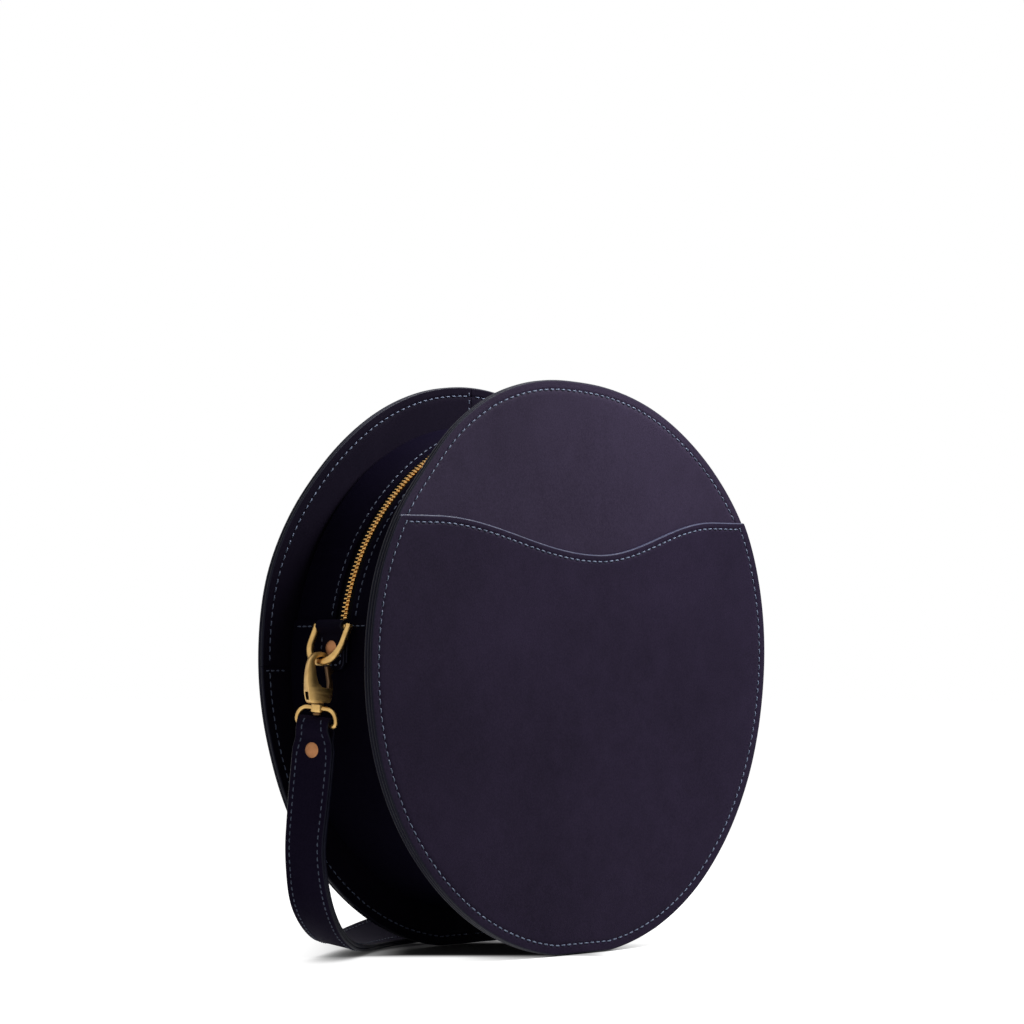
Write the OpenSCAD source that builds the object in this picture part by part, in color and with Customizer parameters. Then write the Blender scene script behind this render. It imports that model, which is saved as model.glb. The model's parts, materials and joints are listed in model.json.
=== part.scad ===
// Round shoulder bag: a leather drum between two round panels, with a zip over
// its top, a slip pocket in front and a clip-on strap.
// X runs to the right, Y to the back, Z up. The floor is at zero.

/* [Panels] */
// Radius of the two round panels
panel_r = 120; // [112:1:132]
// Thickness of the body leather
leather_t = 1.5; // [1.2:0.1:1.8]
// Depth of the bag over its two panels
bag_depth = 68; // [60:1:84]
// Width of the flat that each panel stands on
foot_w = 28; // [12:1:40]

/* [Front pocket] */
// Thickness of the pocket leather
pocket_t = 1.4; // [1:0.1:1.8]
// Height of the pocket's edge above the middle, away from its dip
pocket_h = 61.8; // [50:0.2:75]
// Depth of the dip
dip_h = 15; // [5:0.5:20]
// Lowest point of the dip, to the right of the middle
dip_x = 12; // [-20:1:20]
// Length of the dip's left slope
dip_left = 96; // [60:1:100]
// Length of the dip's right slope
dip_right = 74; // [60:1:90]
// Slant of the pocket's edge in degrees, up to the right
edge_slant = 0.8; // [0:0.1:2]

/* [Drum] */
// Width of the rim that each panel holds out beyond the drum
rim_w = 15; // [12:0.5:20]
// Width of the seams that turn inwards
seam_w = 7; // [5:0.5:9]
// Outer radius of the rolled edges beside the flanges
roll_r = 2.6; // [2:0.1:3.4]
// Height in degrees of the gusset's ends above the level of the middle
gusset_end = 10.5; // [8:0.5:14]
// Length by which the gusset laps over the zip strips
lap_w = 6; // [4:0.5:8]
// Gap between the quarter pieces of a flange
quarter_gap = 0.4; // [0.2:0.1:0.8]

/* [Zip] */
// Centre line of the zip, behind the middle of the bag's depth
zip_y = 2; // [-3:0.5:4]
// Opening between the two zip strips
zip_gap = 9; // [8.6:0.2:12]
// Width of one tape
tape_w = 12; // [10:0.5:14]
// Thickness of the tapes
tape_t = 0.6; // [0.4:0.1:0.8]
// Distance from one tooth to the next on the same tape
tooth_pitch = 1.74; // [1.6:0.02:2]
// Width of the closed chain of teeth
chain_w = 4.2; // [4:0.1:5]
// Height of the teeth
tooth_h = 2.6; // [2:0.1:2.8]
// Length of the slider
slider_l = 8.5; // [8:0.1:10]
// Length of the pull beyond its pin
pull_l = 17; // [14:0.5:18]

/* [Rings and tabs] */
// Inner width of the D-rings
ring_w = 16; // [15:0.5:18]
// Height of the D-rings, from the middle of the bar to the middle of the bow
ring_h = 15.8; // [14:0.1:17]
// Thickness of the ring wire
ring_wire = 3; // [2.6:0.1:3.2]
// Outward lean of the rings in degrees
ring_lean = 26; // [22:1:30]
// Height in degrees of the ring bars above the level of the middle
bar_a = 8.5; // [7:0.5:10]
// Thickness of the tab leather
tab_t = 1.6; // [1.3:0.1:1.8]
// Width of the tabs
tab_w = 15.2; // [12:0.2:15.4]
// Length of the tabs below the ring bar, in degrees round the drum
tab_a = 9; // [8:0.5:14]

/* [Snap hooks] */
// Height of the hook from its foot to the top of its claw
hook_h = 20.5; // [19:0.1:23]
// Width over the claw and the block
hook_w = 12.1; // [11:0.1:13]
// Thickness of the block
hook_t = 4.6; // [4.2:0.1:5.2]
// Thickness of the gate
gate_t = 2.4; // [2:0.1:2.6]
// Outer width of the swivel eye
eye_w = 20.4; // [19.6:0.1:22]
// Thickness of the eye wire
eye_wire = 2; // [1.6:0.1:2.2]

/* [Strap] */
// Width of the strap
strap_w = 19; // [17:0.5:21]
// Width of the strap at the eye
strap_end_w = 14.5; // [13:0.5:15.5]
// Thickness of one strap layer
strap_t = 1.5; // [1.2:0.1:1.8]
// Length of the folded strap end below the eye's bar
strap_end_l = 23; // [20:0.5:26]
// Radius of the rivet caps
cap_r = 3.15; // [2.6:0.05:3.6]

/* [Hidden] */

// Overrun of every cut past the surface that it leaves
cut = 1;
// Running clearance of pins and bars, all round
run_fit = 0.06;
// Gap between two pieces that lie against each other loosely
lay_gap = 0.3;

leather = [0.16, 0.13, 0.2];
leather_dark = [0.1, 0.08, 0.14];
cloth = [0.06, 0.06, 0.09];
brass = [0.72, 0.56, 0.25];
copper = [0.76, 0.5, 0.33];

// Places through the depth of the bag, from its middle
middle_z = sqrt(pow(panel_r, 2) - pow(foot_w / 2, 2));
front_y = -bag_depth / 2;
back_y = bag_depth / 2;
panel_y = front_y + pocket_t;
drum_front_y = panel_y + 2 * leather_t;
drum_back_y = back_y - 2 * leather_t;

// The drum
gusset_r = panel_r - rim_w;
strip_r = gusset_r - leather_t;
tape_r = strip_r - leather_t;
chain_r = tape_r - tape_t / 2;
lap_a = lap_w / gusset_r * 180 / PI;
flange_in_r = gusset_r - seam_w;

// The chain of teeth: on the right it ends at the closed slider, and on the left
// it runs in under the gusset to its stop
stop_l = 2.2;
stop_gap = 0.6;
function arc_a(len) = len / chain_r * 180 / PI;
chain_end_a = gusset_end + arc_a(stop_gap);
slider_a = chain_end_a + arc_a(stop_l + stop_gap + slider_l / 2);
tooth_a = arc_a(tooth_pitch);
tooth_first_a = 180 - gusset_end + lap_a - arc_a(2 * stop_gap + stop_l);
tooth_count = floor((tooth_first_a - slider_a) / tooth_a);

// The ring bars and the bows that the hooks hang from
bar_r = ring_wire / 2;
bar_hole_r = bar_r + run_fit;
bar_seat = bar_hole_r + tab_t;
bar_x = -(gusset_r + bar_seat) * cos(bar_a);
bar_z = middle_z + (gusset_r + bar_seat) * sin(bar_a);
bow_x = bar_x - ring_h * sin(ring_lean);
bow_z = bar_z - ring_h * cos(ring_lean);

// The hook hangs with the inside of its claw just over the bow
claw_t = 1.85;
claw_gap = 0.85;
hook_turn = 15;
stem_off = 1.1;
stem_x = bow_x - stem_off;
hook_z = bow_z + bar_r + claw_gap + claw_t - hook_h;

// The eye and the strap's end below it
strap_turn = 75;
eye_tilt = 6;
stem_r = 1.2;
collar_r = 2.65;
collar_h = 3;
collar_gap = 0.4;
swivel_fit = 0.2;
stem_head_r = 1.9;
stem_head_h = 0.9;
eye_r = eye_wire / 2;
eye_bar_drop = 8.5;
eye_shoulder_drop = 1.9;
eye_corner = eye_w / 2 - eye_r - strap_end_w / 2 - run_fit;
strap_pair = 2 * strap_t;
fold_t = 2.3;
strap_loop_r = eye_r + run_fit + fold_t;
strap_rivet_drop = 10.2;
strap_neck = strap_rivet_drop - cap_r - lay_gap;
rivet_post_r = 1.4;
cap_h = 1.1;
washer_t = 0.7;

// The strap behind the bag: a coil of two arms that stands on its edge
coil_in_r = 14;
coil_pitch = 9;
coil_turns = 2.25;
coil_step = 15;
coil_gap = 4;
coil_x = 60;
coil_out_r = coil_in_r + coil_pitch * coil_turns;
coil_reach = coil_out_r + strap_pair / 2;
coil_y = back_y + coil_gap + coil_reach;

// The whole stands with the middle of its depth at zero
set_y = -(coil_y + coil_reach + front_y) / 2;

module placed() translate([0, set_y, 0]) children();

module right_side() mirror([1, 0, 0]) children();

module above_floor() intersection() {
    children();
    translate([-2 * panel_r, -2 * bag_depth, 0])
        cube([4 * panel_r, 4 * bag_depth, 4 * panel_r]);
}

// A flat sheet that stands upright, its back face at y
module upright(y, t) translate([0, y, middle_z]) rotate([90, 0, 0])
    linear_extrude(t) children();

// A profile in radius and y, turned about the middle of the drum
module turned(start, sweep) translate([0, 0, middle_z]) rotate([90, 0, 0])
    rotate_extrude(angle = sweep, start = start, $fn = 180) mirror([0, 1]) children();

module disc() difference() {
    circle(r = panel_r, $fn = 180);
    translate([-panel_r, -middle_z - panel_r]) square([2 * panel_r, panel_r]);
}

function edge_z(x) = pocket_h + x * tan(edge_slant)
    - dip_h * (abs((x - dip_x) / (x < dip_x ? dip_left : dip_right)) > 1 ? 0
        : (1 + cos(180 * (x - dip_x) / (x < dip_x ? dip_left : dip_right))) / 2);

module front_panel() color(leather) placed() upright(panel_y + leather_t, leather_t) disc();

module front_pocket() {
    step = panel_r / 24;
    color(leather) placed() upright(panel_y, pocket_t) intersection() {
        disc();
        polygon(concat([[panel_r + cut, -panel_r - cut], [-panel_r - cut, -panel_r - cut]],
            [for (x = [-panel_r - step : step : panel_r + step]) [x, edge_z(x)]]));
    }
}

module back_panel() color(leather) placed() upright(back_y, leather_t) disc();

// A flange ring of four quarters, its front face at y
module flange(y) {
    gap_a = quarter_gap / panel_r * 180 / PI;
    above_floor() for (i = [0 : 3]) turned(90 * i + gap_a / 2, 90 - gap_a)
        translate([flange_in_r, y]) square([panel_r - flange_in_r, leather_t]);
}

module front_flange() color(leather) placed() flange(panel_y + leather_t);

module back_flange() color(leather) placed() flange(drum_back_y);

// A block with its two outer corners rounded, in radius and y
module round_block(r, w, y0, y1, corner) {
    translate([r - w, y0]) square([w - corner, y1 - y0]);
    translate([r - w, y0 + corner]) square([w, y1 - y0 - 2 * corner]);
    for (y = [y0 + corner, y1 - corner]) translate([r - corner, y]) circle(r = corner, $fn = 32);
}

module gusset_profile() difference() {
    round_block(gusset_r, seam_w, drum_front_y, drum_back_y, roll_r);
    translate([-leather_t, 0]) round_block(gusset_r, seam_w + cut,
        drum_front_y + leather_t, drum_back_y - leather_t, roll_r - leather_t);
}

module gusset() color(leather_dark) placed() difference() {
    turned(180 - gusset_end, 180 + 2 * gusset_end) gusset_profile();
    rivet_hole();
    right_side() rivet_hole();
}

// The strip's profile: the gusset's, one leather lower, cut off beside the zip
module strip_profile() intersection() {
    translate([-leather_t, 0]) gusset_profile();
    translate([0, drum_front_y]) square([gusset_r, zip_y - zip_gap / 2 - drum_front_y]);
}

module strip_profile_back() intersection() {
    translate([-leather_t, 0]) gusset_profile();
    translate([0, zip_y + zip_gap / 2]) square([gusset_r, drum_back_y - zip_y - zip_gap / 2]);
}

// The plain ends that lie under the gusset
module strip_ends(y0, y1) for (a = [gusset_end - lap_a, 180 - gusset_end])
    turned(a, lap_a) translate([tape_r, y0]) square([leather_t - run_fit, y1 - y0]);

module zip_strip_front() color(leather_dark) placed() {
    turned(gusset_end, 180 - 2 * gusset_end) strip_profile();
    strip_ends(drum_front_y + roll_r, zip_y - zip_gap / 2);
}

module zip_strip_back() color(leather_dark) placed() {
    turned(gusset_end, 180 - 2 * gusset_end) strip_profile_back();
    strip_ends(zip_y + zip_gap / 2, drum_back_y - roll_r);
}

tape_edge = 1;

// One tape, from beside the chain's centre line outwards
module tape(y0) turned(gusset_end - lap_a, 180 - 2 * gusset_end + 2 * lap_a)
    translate([tape_r - tape_t, y0]) square([tape_t, tape_w - tape_edge]);

module zip_tape_front() color(cloth) placed() tape(zip_y - tape_w);

module zip_tape_back() color(cloth) placed() tape(zip_y + tape_edge);

// One tooth at the zip's centre line: a body clamped to the tape, and a lower
// head that reaches between two bodies of the other row. Shares are of half the
// chain's width and of the pitch, and the head's height is a share of the tooth's.
tooth_body_shares = [[-1, -0.2], [-0.9, -0.28], [-0.05, -0.28], [0.08, -0.15], [0.08, 0.15],
    [-0.05, 0.28], [-0.9, 0.28], [-1, 0.2]];
tooth_head_shares = [[-0.5, -0.16], [0.3, -0.19], [0.43, -0.1], [0.43, 0.1], [0.3, 0.19], [-0.5, 0.16]];
head_share = 0.5;

module tooth_slab(shares, h) linear_extrude(h, center = true)
    polygon([for (s = shares) [s.x * chain_w / 2, s.y * tooth_pitch]]);

module tooth() {
    tooth_slab(tooth_body_shares, tooth_h);
    tooth_slab(tooth_head_shares, tooth_h * head_share);
}

// Something drawn flat at the chain, set at an angle round the drum: its x runs
// to the back, its y along the chain to the left, its z outwards
module on_chain(a) translate([0, zip_y, middle_z]) rotate([0, 90 - a, 0])
    translate([0, 0, chain_r]) rotate([0, 0, 90]) children();

module zip_teeth_front() color(brass) placed() for (i = [0 : tooth_count - 1])
    on_chain(tooth_first_a - i * tooth_a) tooth();

module zip_teeth_back() color(brass) placed() for (i = [0 : tooth_count - 1])
    on_chain(tooth_first_a - (i + 0.5) * tooth_a) mirror([1, 0, 0]) tooth();

stop_w = 1.8;
stop_back = 0.6;

// Both stops are bent round the tapes: each has a slit that takes the cloth
module tape_slits() for (s = [-1, 1]) translate([s * (tape_edge - run_fit + chain_w / 2), 0, 0])
    cube([chain_w, stop_l + 2 * cut, tape_t + 4 * run_fit], center = true);

module zip_stops() color(brass) placed() {
    on_chain(tooth_first_a + arc_a(stop_gap + stop_l / 2)) difference() {
        cube([chain_w, stop_l, tooth_h], center = true);
        tape_slits();
    }
    on_chain(chain_end_a + arc_a(stop_l / 2)) difference() {
        for (s = [-1, 1]) translate([s * (tape_edge - stop_back + stop_w / 2), 0, 0])
            cube([stop_w, stop_l, tooth_h], center = true);
        tape_slits();
    }
}

// The slider: two plates with turned rims over the chain, held apart by a wedge,
// and a lug for the pull's pin
plate_t = 1;
slider_gap = 0.25;
rim_t = 1;
slider_w = chain_w + 2 * (lay_gap + rim_t);
slider_lift = tooth_h / 2 + slider_gap;
tape_slit = tape_t + 2 * lay_gap;
lug_r = 2;
lug_w = 1.8;
pin_r = 0.65;
lug_sink = 0.4;
lug_z = slider_lift + plate_t + lug_r - lug_sink;
mouth_share = 1.18;
wedge_w = 1.5;

module slider_plate() union() {
    square([slider_w, slider_l], center = true);
    translate([0, -slider_l / 2 + slider_w * mouth_share / 2])
        circle(d = slider_w * mouth_share, $fn = 48);
}

module slider_half() {
    translate([0, 0, slider_lift]) linear_extrude(plate_t) slider_plate();
    for (s = [-1, 1]) translate([s * (slider_w - rim_t) / 2, slider_l / 8, slider_lift / 2 + tape_slit / 4])
        cube([rim_t, slider_l * 3 / 4, slider_lift - tape_slit / 2], center = true);
}

module zip_slider() color(brass) placed() on_chain(slider_a) difference() {
    union() {
        slider_half();
        mirror([0, 0, 1]) slider_half();
        translate([0, -slider_l / 2 + wedge_w, 0])
            cylinder(d = wedge_w, h = 2 * slider_lift + plate_t, center = true, $fn = 24);
        translate([-lug_w / 2, 0, lug_z]) rotate([0, 90, 0]) cylinder(r = lug_r, h = lug_w, $fn = 32);
        translate([0, 0, (slider_lift + plate_t + lug_z) / 2])
            cube([lug_w, 2 * lug_r, lug_z - slider_lift - plate_t], center = true);
    }
    translate([-lug_w, 0, lug_z]) rotate([0, 90, 0])
        cylinder(r = pin_r + run_fit, h = 2 * lug_w, $fn = 32);
}

pull_rest = 36;
pull_w = 6.6;
pull_neck_w = 5.2;
pull_t = 1.3;
pull_slot_w = 2.4;
fork_gap = 0.2;

// Drawn along y from its pin, then laid towards the chain's closed end
module zip_pull() color(brass) placed() on_chain(slider_a) translate([0, 0, lug_z])
    rotate([180 - pull_rest, 0, 0]) {
        linear_extrude(pull_t, center = true) difference() {
            union() {
                translate([-pull_neck_w / 2, -pull_t]) square([pull_neck_w, pull_l / 2 + pull_t]);
                translate([0, pull_l - pull_w / 2]) circle(d = pull_w, $fn = 48);
                polygon([[-pull_neck_w / 2, pull_l / 4], [pull_neck_w / 2, pull_l / 4],
                    [pull_w / 2, pull_l - pull_w / 2], [-pull_w / 2, pull_l - pull_w / 2]]);
            }
            translate([-lug_w / 2 - fork_gap, -lug_r]) square([lug_w + 2 * fork_gap, 2 * lug_r + lay_gap]);
            translate([0, pull_l - pull_w / 2]) circle(d = pull_slot_w, $fn = 32);
            translate([-pull_slot_w / 2, pull_l / 2]) square([pull_slot_w, pull_l / 2 - pull_w / 2]);
        }
        rotate([0, 90, 0]) cylinder(r = pin_r, h = pull_neck_w, center = true, $fn = 32);
    }

// Something on the left of the drum, its z outwards at an angle above level
module at_left(a) translate([0, zip_y, middle_z]) rotate([0, a - 90, 0]) children();

tab_rivet_a = bar_a - tab_a / 2;

module rivet_hole() at_left(tab_rivet_a) translate([0, 0, gusset_r - roll_r - cut])
    cylinder(r = rivet_post_r + run_fit, h = roll_r + 3 * bar_seat, $fn = 32);

module cap(r, h) intersection() {
    cylinder(r = r, h = h, $fn = 48);
    translate([0, 0, h - (pow(r, 2) + pow(h, 2)) / (2 * h)])
        sphere(r = (pow(r, 2) + pow(h, 2)) / (2 * h), $fn = 96);
}

washer_share = 0.85;

// A rivet along z: its post from 0 to grip, a domed cap on top, a washer below
module rivet(grip) {
    translate([0, 0, -washer_t]) cylinder(r = rivet_post_r, h = grip + washer_t, $fn = 32);
    translate([0, 0, grip]) cap(cap_r, cap_h);
    translate([0, 0, -washer_t]) cylinder(r = cap_r * washer_share, h = washer_t, $fn = 48);
}

tab_ramp = 5;
ramp_share = 0.93;

// Leather folded round the ring's bar, both layers lying down the gusset
module tab() difference() {
    union() {
        turned(180 - bar_a, tab_a) translate([gusset_r, zip_y - tab_w / 2])
            square([bar_seat, tab_w]);
        translate([bar_x, zip_y, bar_z]) rotate([90, 0, 0])
            cylinder(r = bar_seat, h = tab_w, center = true, $fn = 48);
        translate([bar_x, zip_y, bar_z]) rotate([0, bar_a - 90, 0]) rotate([90, 0, 0])
            linear_extrude(tab_w, center = true)
                polygon([[0, 0], [0, bar_seat], [bar_seat / 3, bar_seat * ramp_share], [tab_ramp, 0]]);
    }
    translate([bar_x, zip_y, bar_z]) rotate([90, 0, 0])
        cylinder(r = bar_hole_r, h = tab_w + cut, center = true, $fn = 48);
    rivet_hole();
}

module ring_tab_left() color(leather) placed() tab();

module ring_tab_right() color(leather) placed() right_side() tab();

module tab_rivet() at_left(tab_rivet_a) translate([0, 0, gusset_r - leather_t - run_fit])
    rivet(leather_t + bar_seat + 2 * run_fit);

module tab_rivet_left() color(copper) placed() tab_rivet();

module tab_rivet_right() color(copper) placed() right_side() tab_rivet();

ring_head_h = 0.8;
ring_head_out = 0.15;
ring_top = ring_head_h;

// The ring hangs from its bar: x along the bar, y up. Its two arms end in flat
// heads beside the bar.
module ring_flat() {
    bow = (ring_w + ring_wire) / 2;
    translate([0, bow - ring_h, 0]) rotate_extrude(angle = 180, start = 180, $fn = 96)
        translate([bow, 0]) circle(r = bar_r, $fn = 32);
    for (s = [-1, 1]) translate([s * bow, ring_top, 0]) rotate([90, 0, 0]) {
        cylinder(r = bar_r, h = ring_h - bow + ring_top, $fn = 32);
        cylinder(r = bar_r + ring_head_out, h = ring_head_h, $fn = 32);
    }
    rotate([0, 90, 0]) cylinder(r = bar_r, h = 2 * bow - bar_r, center = true, $fn = 32);
}

module d_ring() translate([bar_x, zip_y, bar_z]) rotate([0, ring_lean, 0])
    rotate([90, 0, 90]) ring_flat();

module d_ring_left() color(brass) placed() d_ring();

module d_ring_right() color(brass) placed() right_side() d_ring();

// The hook stands over its stem: x across the claw towards the gate, z up
module at_hook() translate([stem_x, zip_y, hook_z]) rotate([0, 0, -hook_turn]) children();

// An outline drawn in x and z, t thick and centred on the hook's plane
module hook_slab(t) rotate([90, 0, 0]) linear_extrude(t, center = true) children();

function spline(p, a, b, c, t) = 0.5 * (2 * a + (b - p) * t + (2 * p - 5 * a + 4 * b - c) * pow(t, 2)
    + (3 * a - p - 3 * b + c) * pow(t, 3));

// A closed smooth outline through points
function smooth(pts, n) = [for (i = [0 : len(pts) - 1], k = [0 : n - 1])
    spline(pts[(i + len(pts) - 1) % len(pts)], pts[i], pts[(i + 1) % len(pts)],
        pts[(i + 2) % len(pts)], k / n)];

// Shares of the hook's width and height, from the stem, up the spine, over the
// claw, back along its inside and down to the block
hook_outline_shares = [[-0.25, 0.0], [-0.37, 0.09], [-0.42, 0.3], [-0.43, 0.51], [-0.4, 0.7],
    [-0.32, 0.86], [-0.16, 0.97], [0.07, 1.0], [0.28, 0.965], [0.42, 0.87], [0.455, 0.77],
    [0.355, 0.745], [0.33, 0.825], [0.245, 0.89], [0.08, 0.91], [-0.08, 0.877], [-0.15, 0.81],
    [-0.13, 0.69], [-0.105, 0.56], [-0.06, 0.44], [0.02, 0.35], [0.15, 0.305], [0.44, 0.28],
    [0.455, 0.2], [0.42, 0.08], [0.3, 0.0]];
// Shares of the block's thickness and the hook's height, up the side of the hook
hook_side_shares = [[0.42, 0], [0.5, 0.06], [0.5, 0.24], [0.4, 0.42], [0.31, 0.7], [0.26, 0.82], [0.26, 1]];

slot_gap = 0.2;
slot_t = gate_t + 2 * slot_gap;
slot_low_share = 0.07;
slot_high_share = 0.23;
slot_in_share = 0.12;
seat_share = -0.18;
pocket_share = -0.3;
pivot_x = hook_w * 0.39;
pivot_z = hook_h * 0.13;
gate_pin_r = 0.7;

module hook_body() difference() {
    intersection() {
        hook_slab(hook_t) polygon([for (s = smooth(hook_outline_shares, 3)) [s.x * hook_w, s.y * hook_h]]);
        rotate([90, 0, 90]) linear_extrude(2 * hook_w, center = true)
            polygon(concat([for (s = hook_side_shares) [s.x * hook_t, s.y * hook_h]],
                [for (i = [len(hook_side_shares) - 1 : -1 : 0])
                    [-hook_side_shares[i].x * hook_t, hook_side_shares[i].y * hook_h]]));
    }
    translate([seat_share * hook_w, -slot_t / 2, slot_low_share * hook_h])
        cube([hook_w, slot_t, (slot_high_share - slot_low_share) * hook_h]);
    translate([slot_in_share * hook_w, -slot_t / 2, slot_low_share * hook_h])
        cube([hook_w, slot_t, hook_h / 3]);
    translate([pocket_share * hook_w - hook_w, -slot_t / 2, slot_low_share * hook_h])
        cube([hook_w, slot_t, (slot_high_share - slot_low_share) * hook_h]);
    translate([pivot_x, 0, pivot_z]) rotate([90, 0, 0])
        cylinder(r = gate_pin_r + run_fit, h = 2 * hook_t, center = true, $fn = 32);
    translate([0, 0, -cut]) cylinder(r = stem_r, h = slot_low_share * hook_h + 2 * cut, $fn = 32);
}

module snap_hook_left() color(brass) placed() at_hook() hook_body();

module snap_hook_right() color(brass) placed() right_side() at_hook() hook_body();

// Shares of the hook's width and height: tail, thumb nub and tip of the gate
gate_outline_shares = [[0.28, 0.1], [0.36, 0.075], [0.47, 0.085], [0.53, 0.24], [0.51, 0.42],
    [0.45, 0.56], [0.545, 0.595], [0.55, 0.64], [0.44, 0.67], [0.41, 0.718], [0.29, 0.718],
    [0.33, 0.56], [0.375, 0.4], [0.35, 0.26], [0.28, 0.2]];

module gate() difference() {
    hook_slab(gate_t) polygon([for (s = gate_outline_shares) [s.x * hook_w, s.y * hook_h]]);
    translate([pivot_x, 0, pivot_z]) rotate([90, 0, 0])
        cylinder(r = gate_pin_r + run_fit, h = 2 * gate_t, center = true, $fn = 32);
}

module hook_gate_left() color(brass) placed() at_hook() gate();

module hook_gate_right() color(brass) placed() right_side() at_hook() gate();

module gate_pin() translate([pivot_x, 0, pivot_z]) rotate([90, 0, 0])
    cylinder(r = gate_pin_r, h = hook_t, center = true, $fn = 32);

module gate_pin_left() color(brass) placed() at_hook() gate_pin();

module gate_pin_right() color(brass) placed() right_side() at_hook() gate_pin();

// A tube swept along points, n sided
function unit(v) = v / norm(v);
function frame_x(t) = unit(cross(t, abs(t.z) > 0.9 ? [1, 0, 0] : [0, 0, 1]));
function tangent(pts, i) = unit(pts[min(i + 1, len(pts) - 1)] - pts[max(i - 1, 0)]);

module tube(pts, r, n) {
    rings = [for (i = [0 : len(pts) - 1]) let (t = tangent(pts, i), x = frame_x(t), y = cross(t, x))
        for (k = [0 : n - 1]) pts[i] + r * (cos(360 * k / n) * x + sin(360 * k / n) * y)];
    last = (len(pts) - 1) * n;
    polyhedron(rings, concat([[for (k = [0 : n - 1]) k], [for (k = [n - 1 : -1 : 0]) last + k]],
        [for (i = [0 : len(pts) - 2], k = [0 : n - 1]) let (a = i * n + k, b = i * n + (k + 1) % n)
            each [[a, a + n, b], [b, a + n, b + n]]]));
}

spring_wire_r = 0.2;
spring_r = 0.9;
spring_turns = 5;
spring_steps = 10;
spring_gap = 0.5;
gate_back_share = 0.28;

// The spring pushes the gate's heel out from the wall at the slot's end
module gate_spring() {
    x0 = seat_share * hook_w + spring_wire_r + run_fit;
    x1 = gate_back_share * hook_w - spring_gap - spring_wire_r;
    mid_z = (slot_low_share + slot_high_share) / 2 * hook_h;
    count = spring_turns * spring_steps;
    tube([for (i = [0 : count]) [x0 + (x1 - x0) * i / count,
        spring_r * cos(360 * i / spring_steps), mid_z + spring_r * sin(360 * i / spring_steps)]],
        spring_wire_r, 6);
}

module gate_spring_left() color("silver") placed() at_hook() gate_spring();

module gate_spring_right() color("silver") placed() right_side() at_hook() gate_spring();

module swivel_pin() {
    translate([0, 0, -2 * collar_gap - collar_h]) cylinder(r = stem_r,
        h = 2 * collar_gap + collar_h + slot_low_share * hook_h, $fn = 32);
    translate([0, 0, -2 * collar_gap - collar_h - stem_head_h])
        cylinder(r = stem_head_r, h = stem_head_h, $fn = 48);
}

module swivel_pin_left() color(brass) placed() at_hook() swivel_pin();

module swivel_pin_right() color(brass) placed() right_side() at_hook() swivel_pin();

// The eye and the strap's end face outwards: x across the strap, z up. They hang a
// little askew, as far as the collar's play on the pin allows.
tilt_drop = collar_gap + collar_h / 2;

module at_eye() translate([stem_x, zip_y, hook_z - tilt_drop]) rotate([0, 0, -strap_turn])
    rotate([0, eye_tilt, 0]) translate([0, 0, tilt_drop]) children();

// The eye's outline in x and z: shoulders, two bends a side, and the bar
module swivel_eye() {
    reach = eye_w / 2 - eye_r;
    drop = eye_bar_drop - eye_shoulder_drop;
    bend = drop - eye_corner;
    difference() {
        union() {
            translate([0, 0, -collar_gap - collar_h]) cylinder(r = collar_r, h = collar_h, $fn = 48);
            for (s = [0, 1]) mirror([s, 0, 0]) rotate([90, 0, 0]) {
                translate([0, -eye_shoulder_drop, 0]) rotate([0, 90, 0])
                    cylinder(r = eye_r, h = reach - bend, $fn = 32);
                translate([reach - bend, -eye_shoulder_drop - bend, 0])
                    rotate_extrude(angle = 90, $fn = 96) translate([bend, 0]) circle(r = eye_r, $fn = 32);
                translate([reach - eye_corner, -eye_shoulder_drop - bend, 0])
                    rotate_extrude(angle = 90, start = 270, $fn = 96)
                        translate([eye_corner, 0]) circle(r = eye_r, $fn = 32);
            }
            translate([0, 0, -eye_bar_drop]) rotate([0, 90, 0])
                cylinder(r = eye_r, h = 2 * (reach - eye_corner), center = true, $fn = 32);
        }
        translate([0, 0, -collar_gap - collar_h - cut])
            cylinder(r = stem_r + swivel_fit, h = collar_h + 2 * cut, $fn = 32);
    }
}

module swivel_eye_left() color(brass) placed() at_eye() swivel_eye();

module swivel_eye_right() color(brass) placed() right_side() at_eye() swivel_eye();

loop_side_share = 0.93;
loop_low_share = 0.3;

// The strap's end from the side: both layers below the fold
module strap_side() polygon([[-strap_pair / 2, -strap_end_l], [-strap_pair / 2, -strap_neck],
    [-strap_loop_r * loop_side_share, -strap_loop_r * loop_low_share],
    [strap_loop_r * loop_side_share, -strap_loop_r * loop_low_share],
    [strap_pair / 2, -strap_neck], [strap_pair / 2, -strap_end_l]]);

module strap_end() translate([0, 0, -eye_bar_drop]) difference() {
    intersection() {
        union() {
            rotate([0, 90, 0]) cylinder(r = strap_loop_r, h = strap_w + 2 * cut, center = true, $fn = 48);
            rotate([90, 0, 90]) linear_extrude(strap_w + 2 * cut, center = true) strap_side();
        }
        rotate([90, 0, 0]) linear_extrude(2 * strap_w, center = true)
            polygon([[-strap_end_w / 2, strap_loop_r + cut], [strap_end_w / 2, strap_loop_r + cut],
                [strap_end_w / 2, 0], [strap_w / 2, -strap_rivet_drop], [strap_w / 2, -strap_end_l - cut],
                [-strap_w / 2, -strap_end_l - cut], [-strap_w / 2, -strap_rivet_drop], [-strap_end_w / 2, 0]]);
    }
    rotate([0, 90, 0]) cylinder(r = eye_r + run_fit, h = 2 * strap_w, center = true, $fn = 48);
    translate([0, 0, -strap_rivet_drop]) rotate([90, 0, 0])
        cylinder(r = rivet_post_r + run_fit, h = 2 * strap_w, center = true, $fn = 32);
}

module strap_end_left() color(leather) placed() at_eye() strap_end();

module strap_end_right() color(leather) placed() right_side() at_eye() strap_end();

module strap_rivet() translate([0, strap_pair / 2, -eye_bar_drop - strap_rivet_drop])
    rotate([90, 0, 0]) rivet(strap_pair);

module strap_rivet_left() color(copper) placed() at_eye() strap_rivet();

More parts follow.
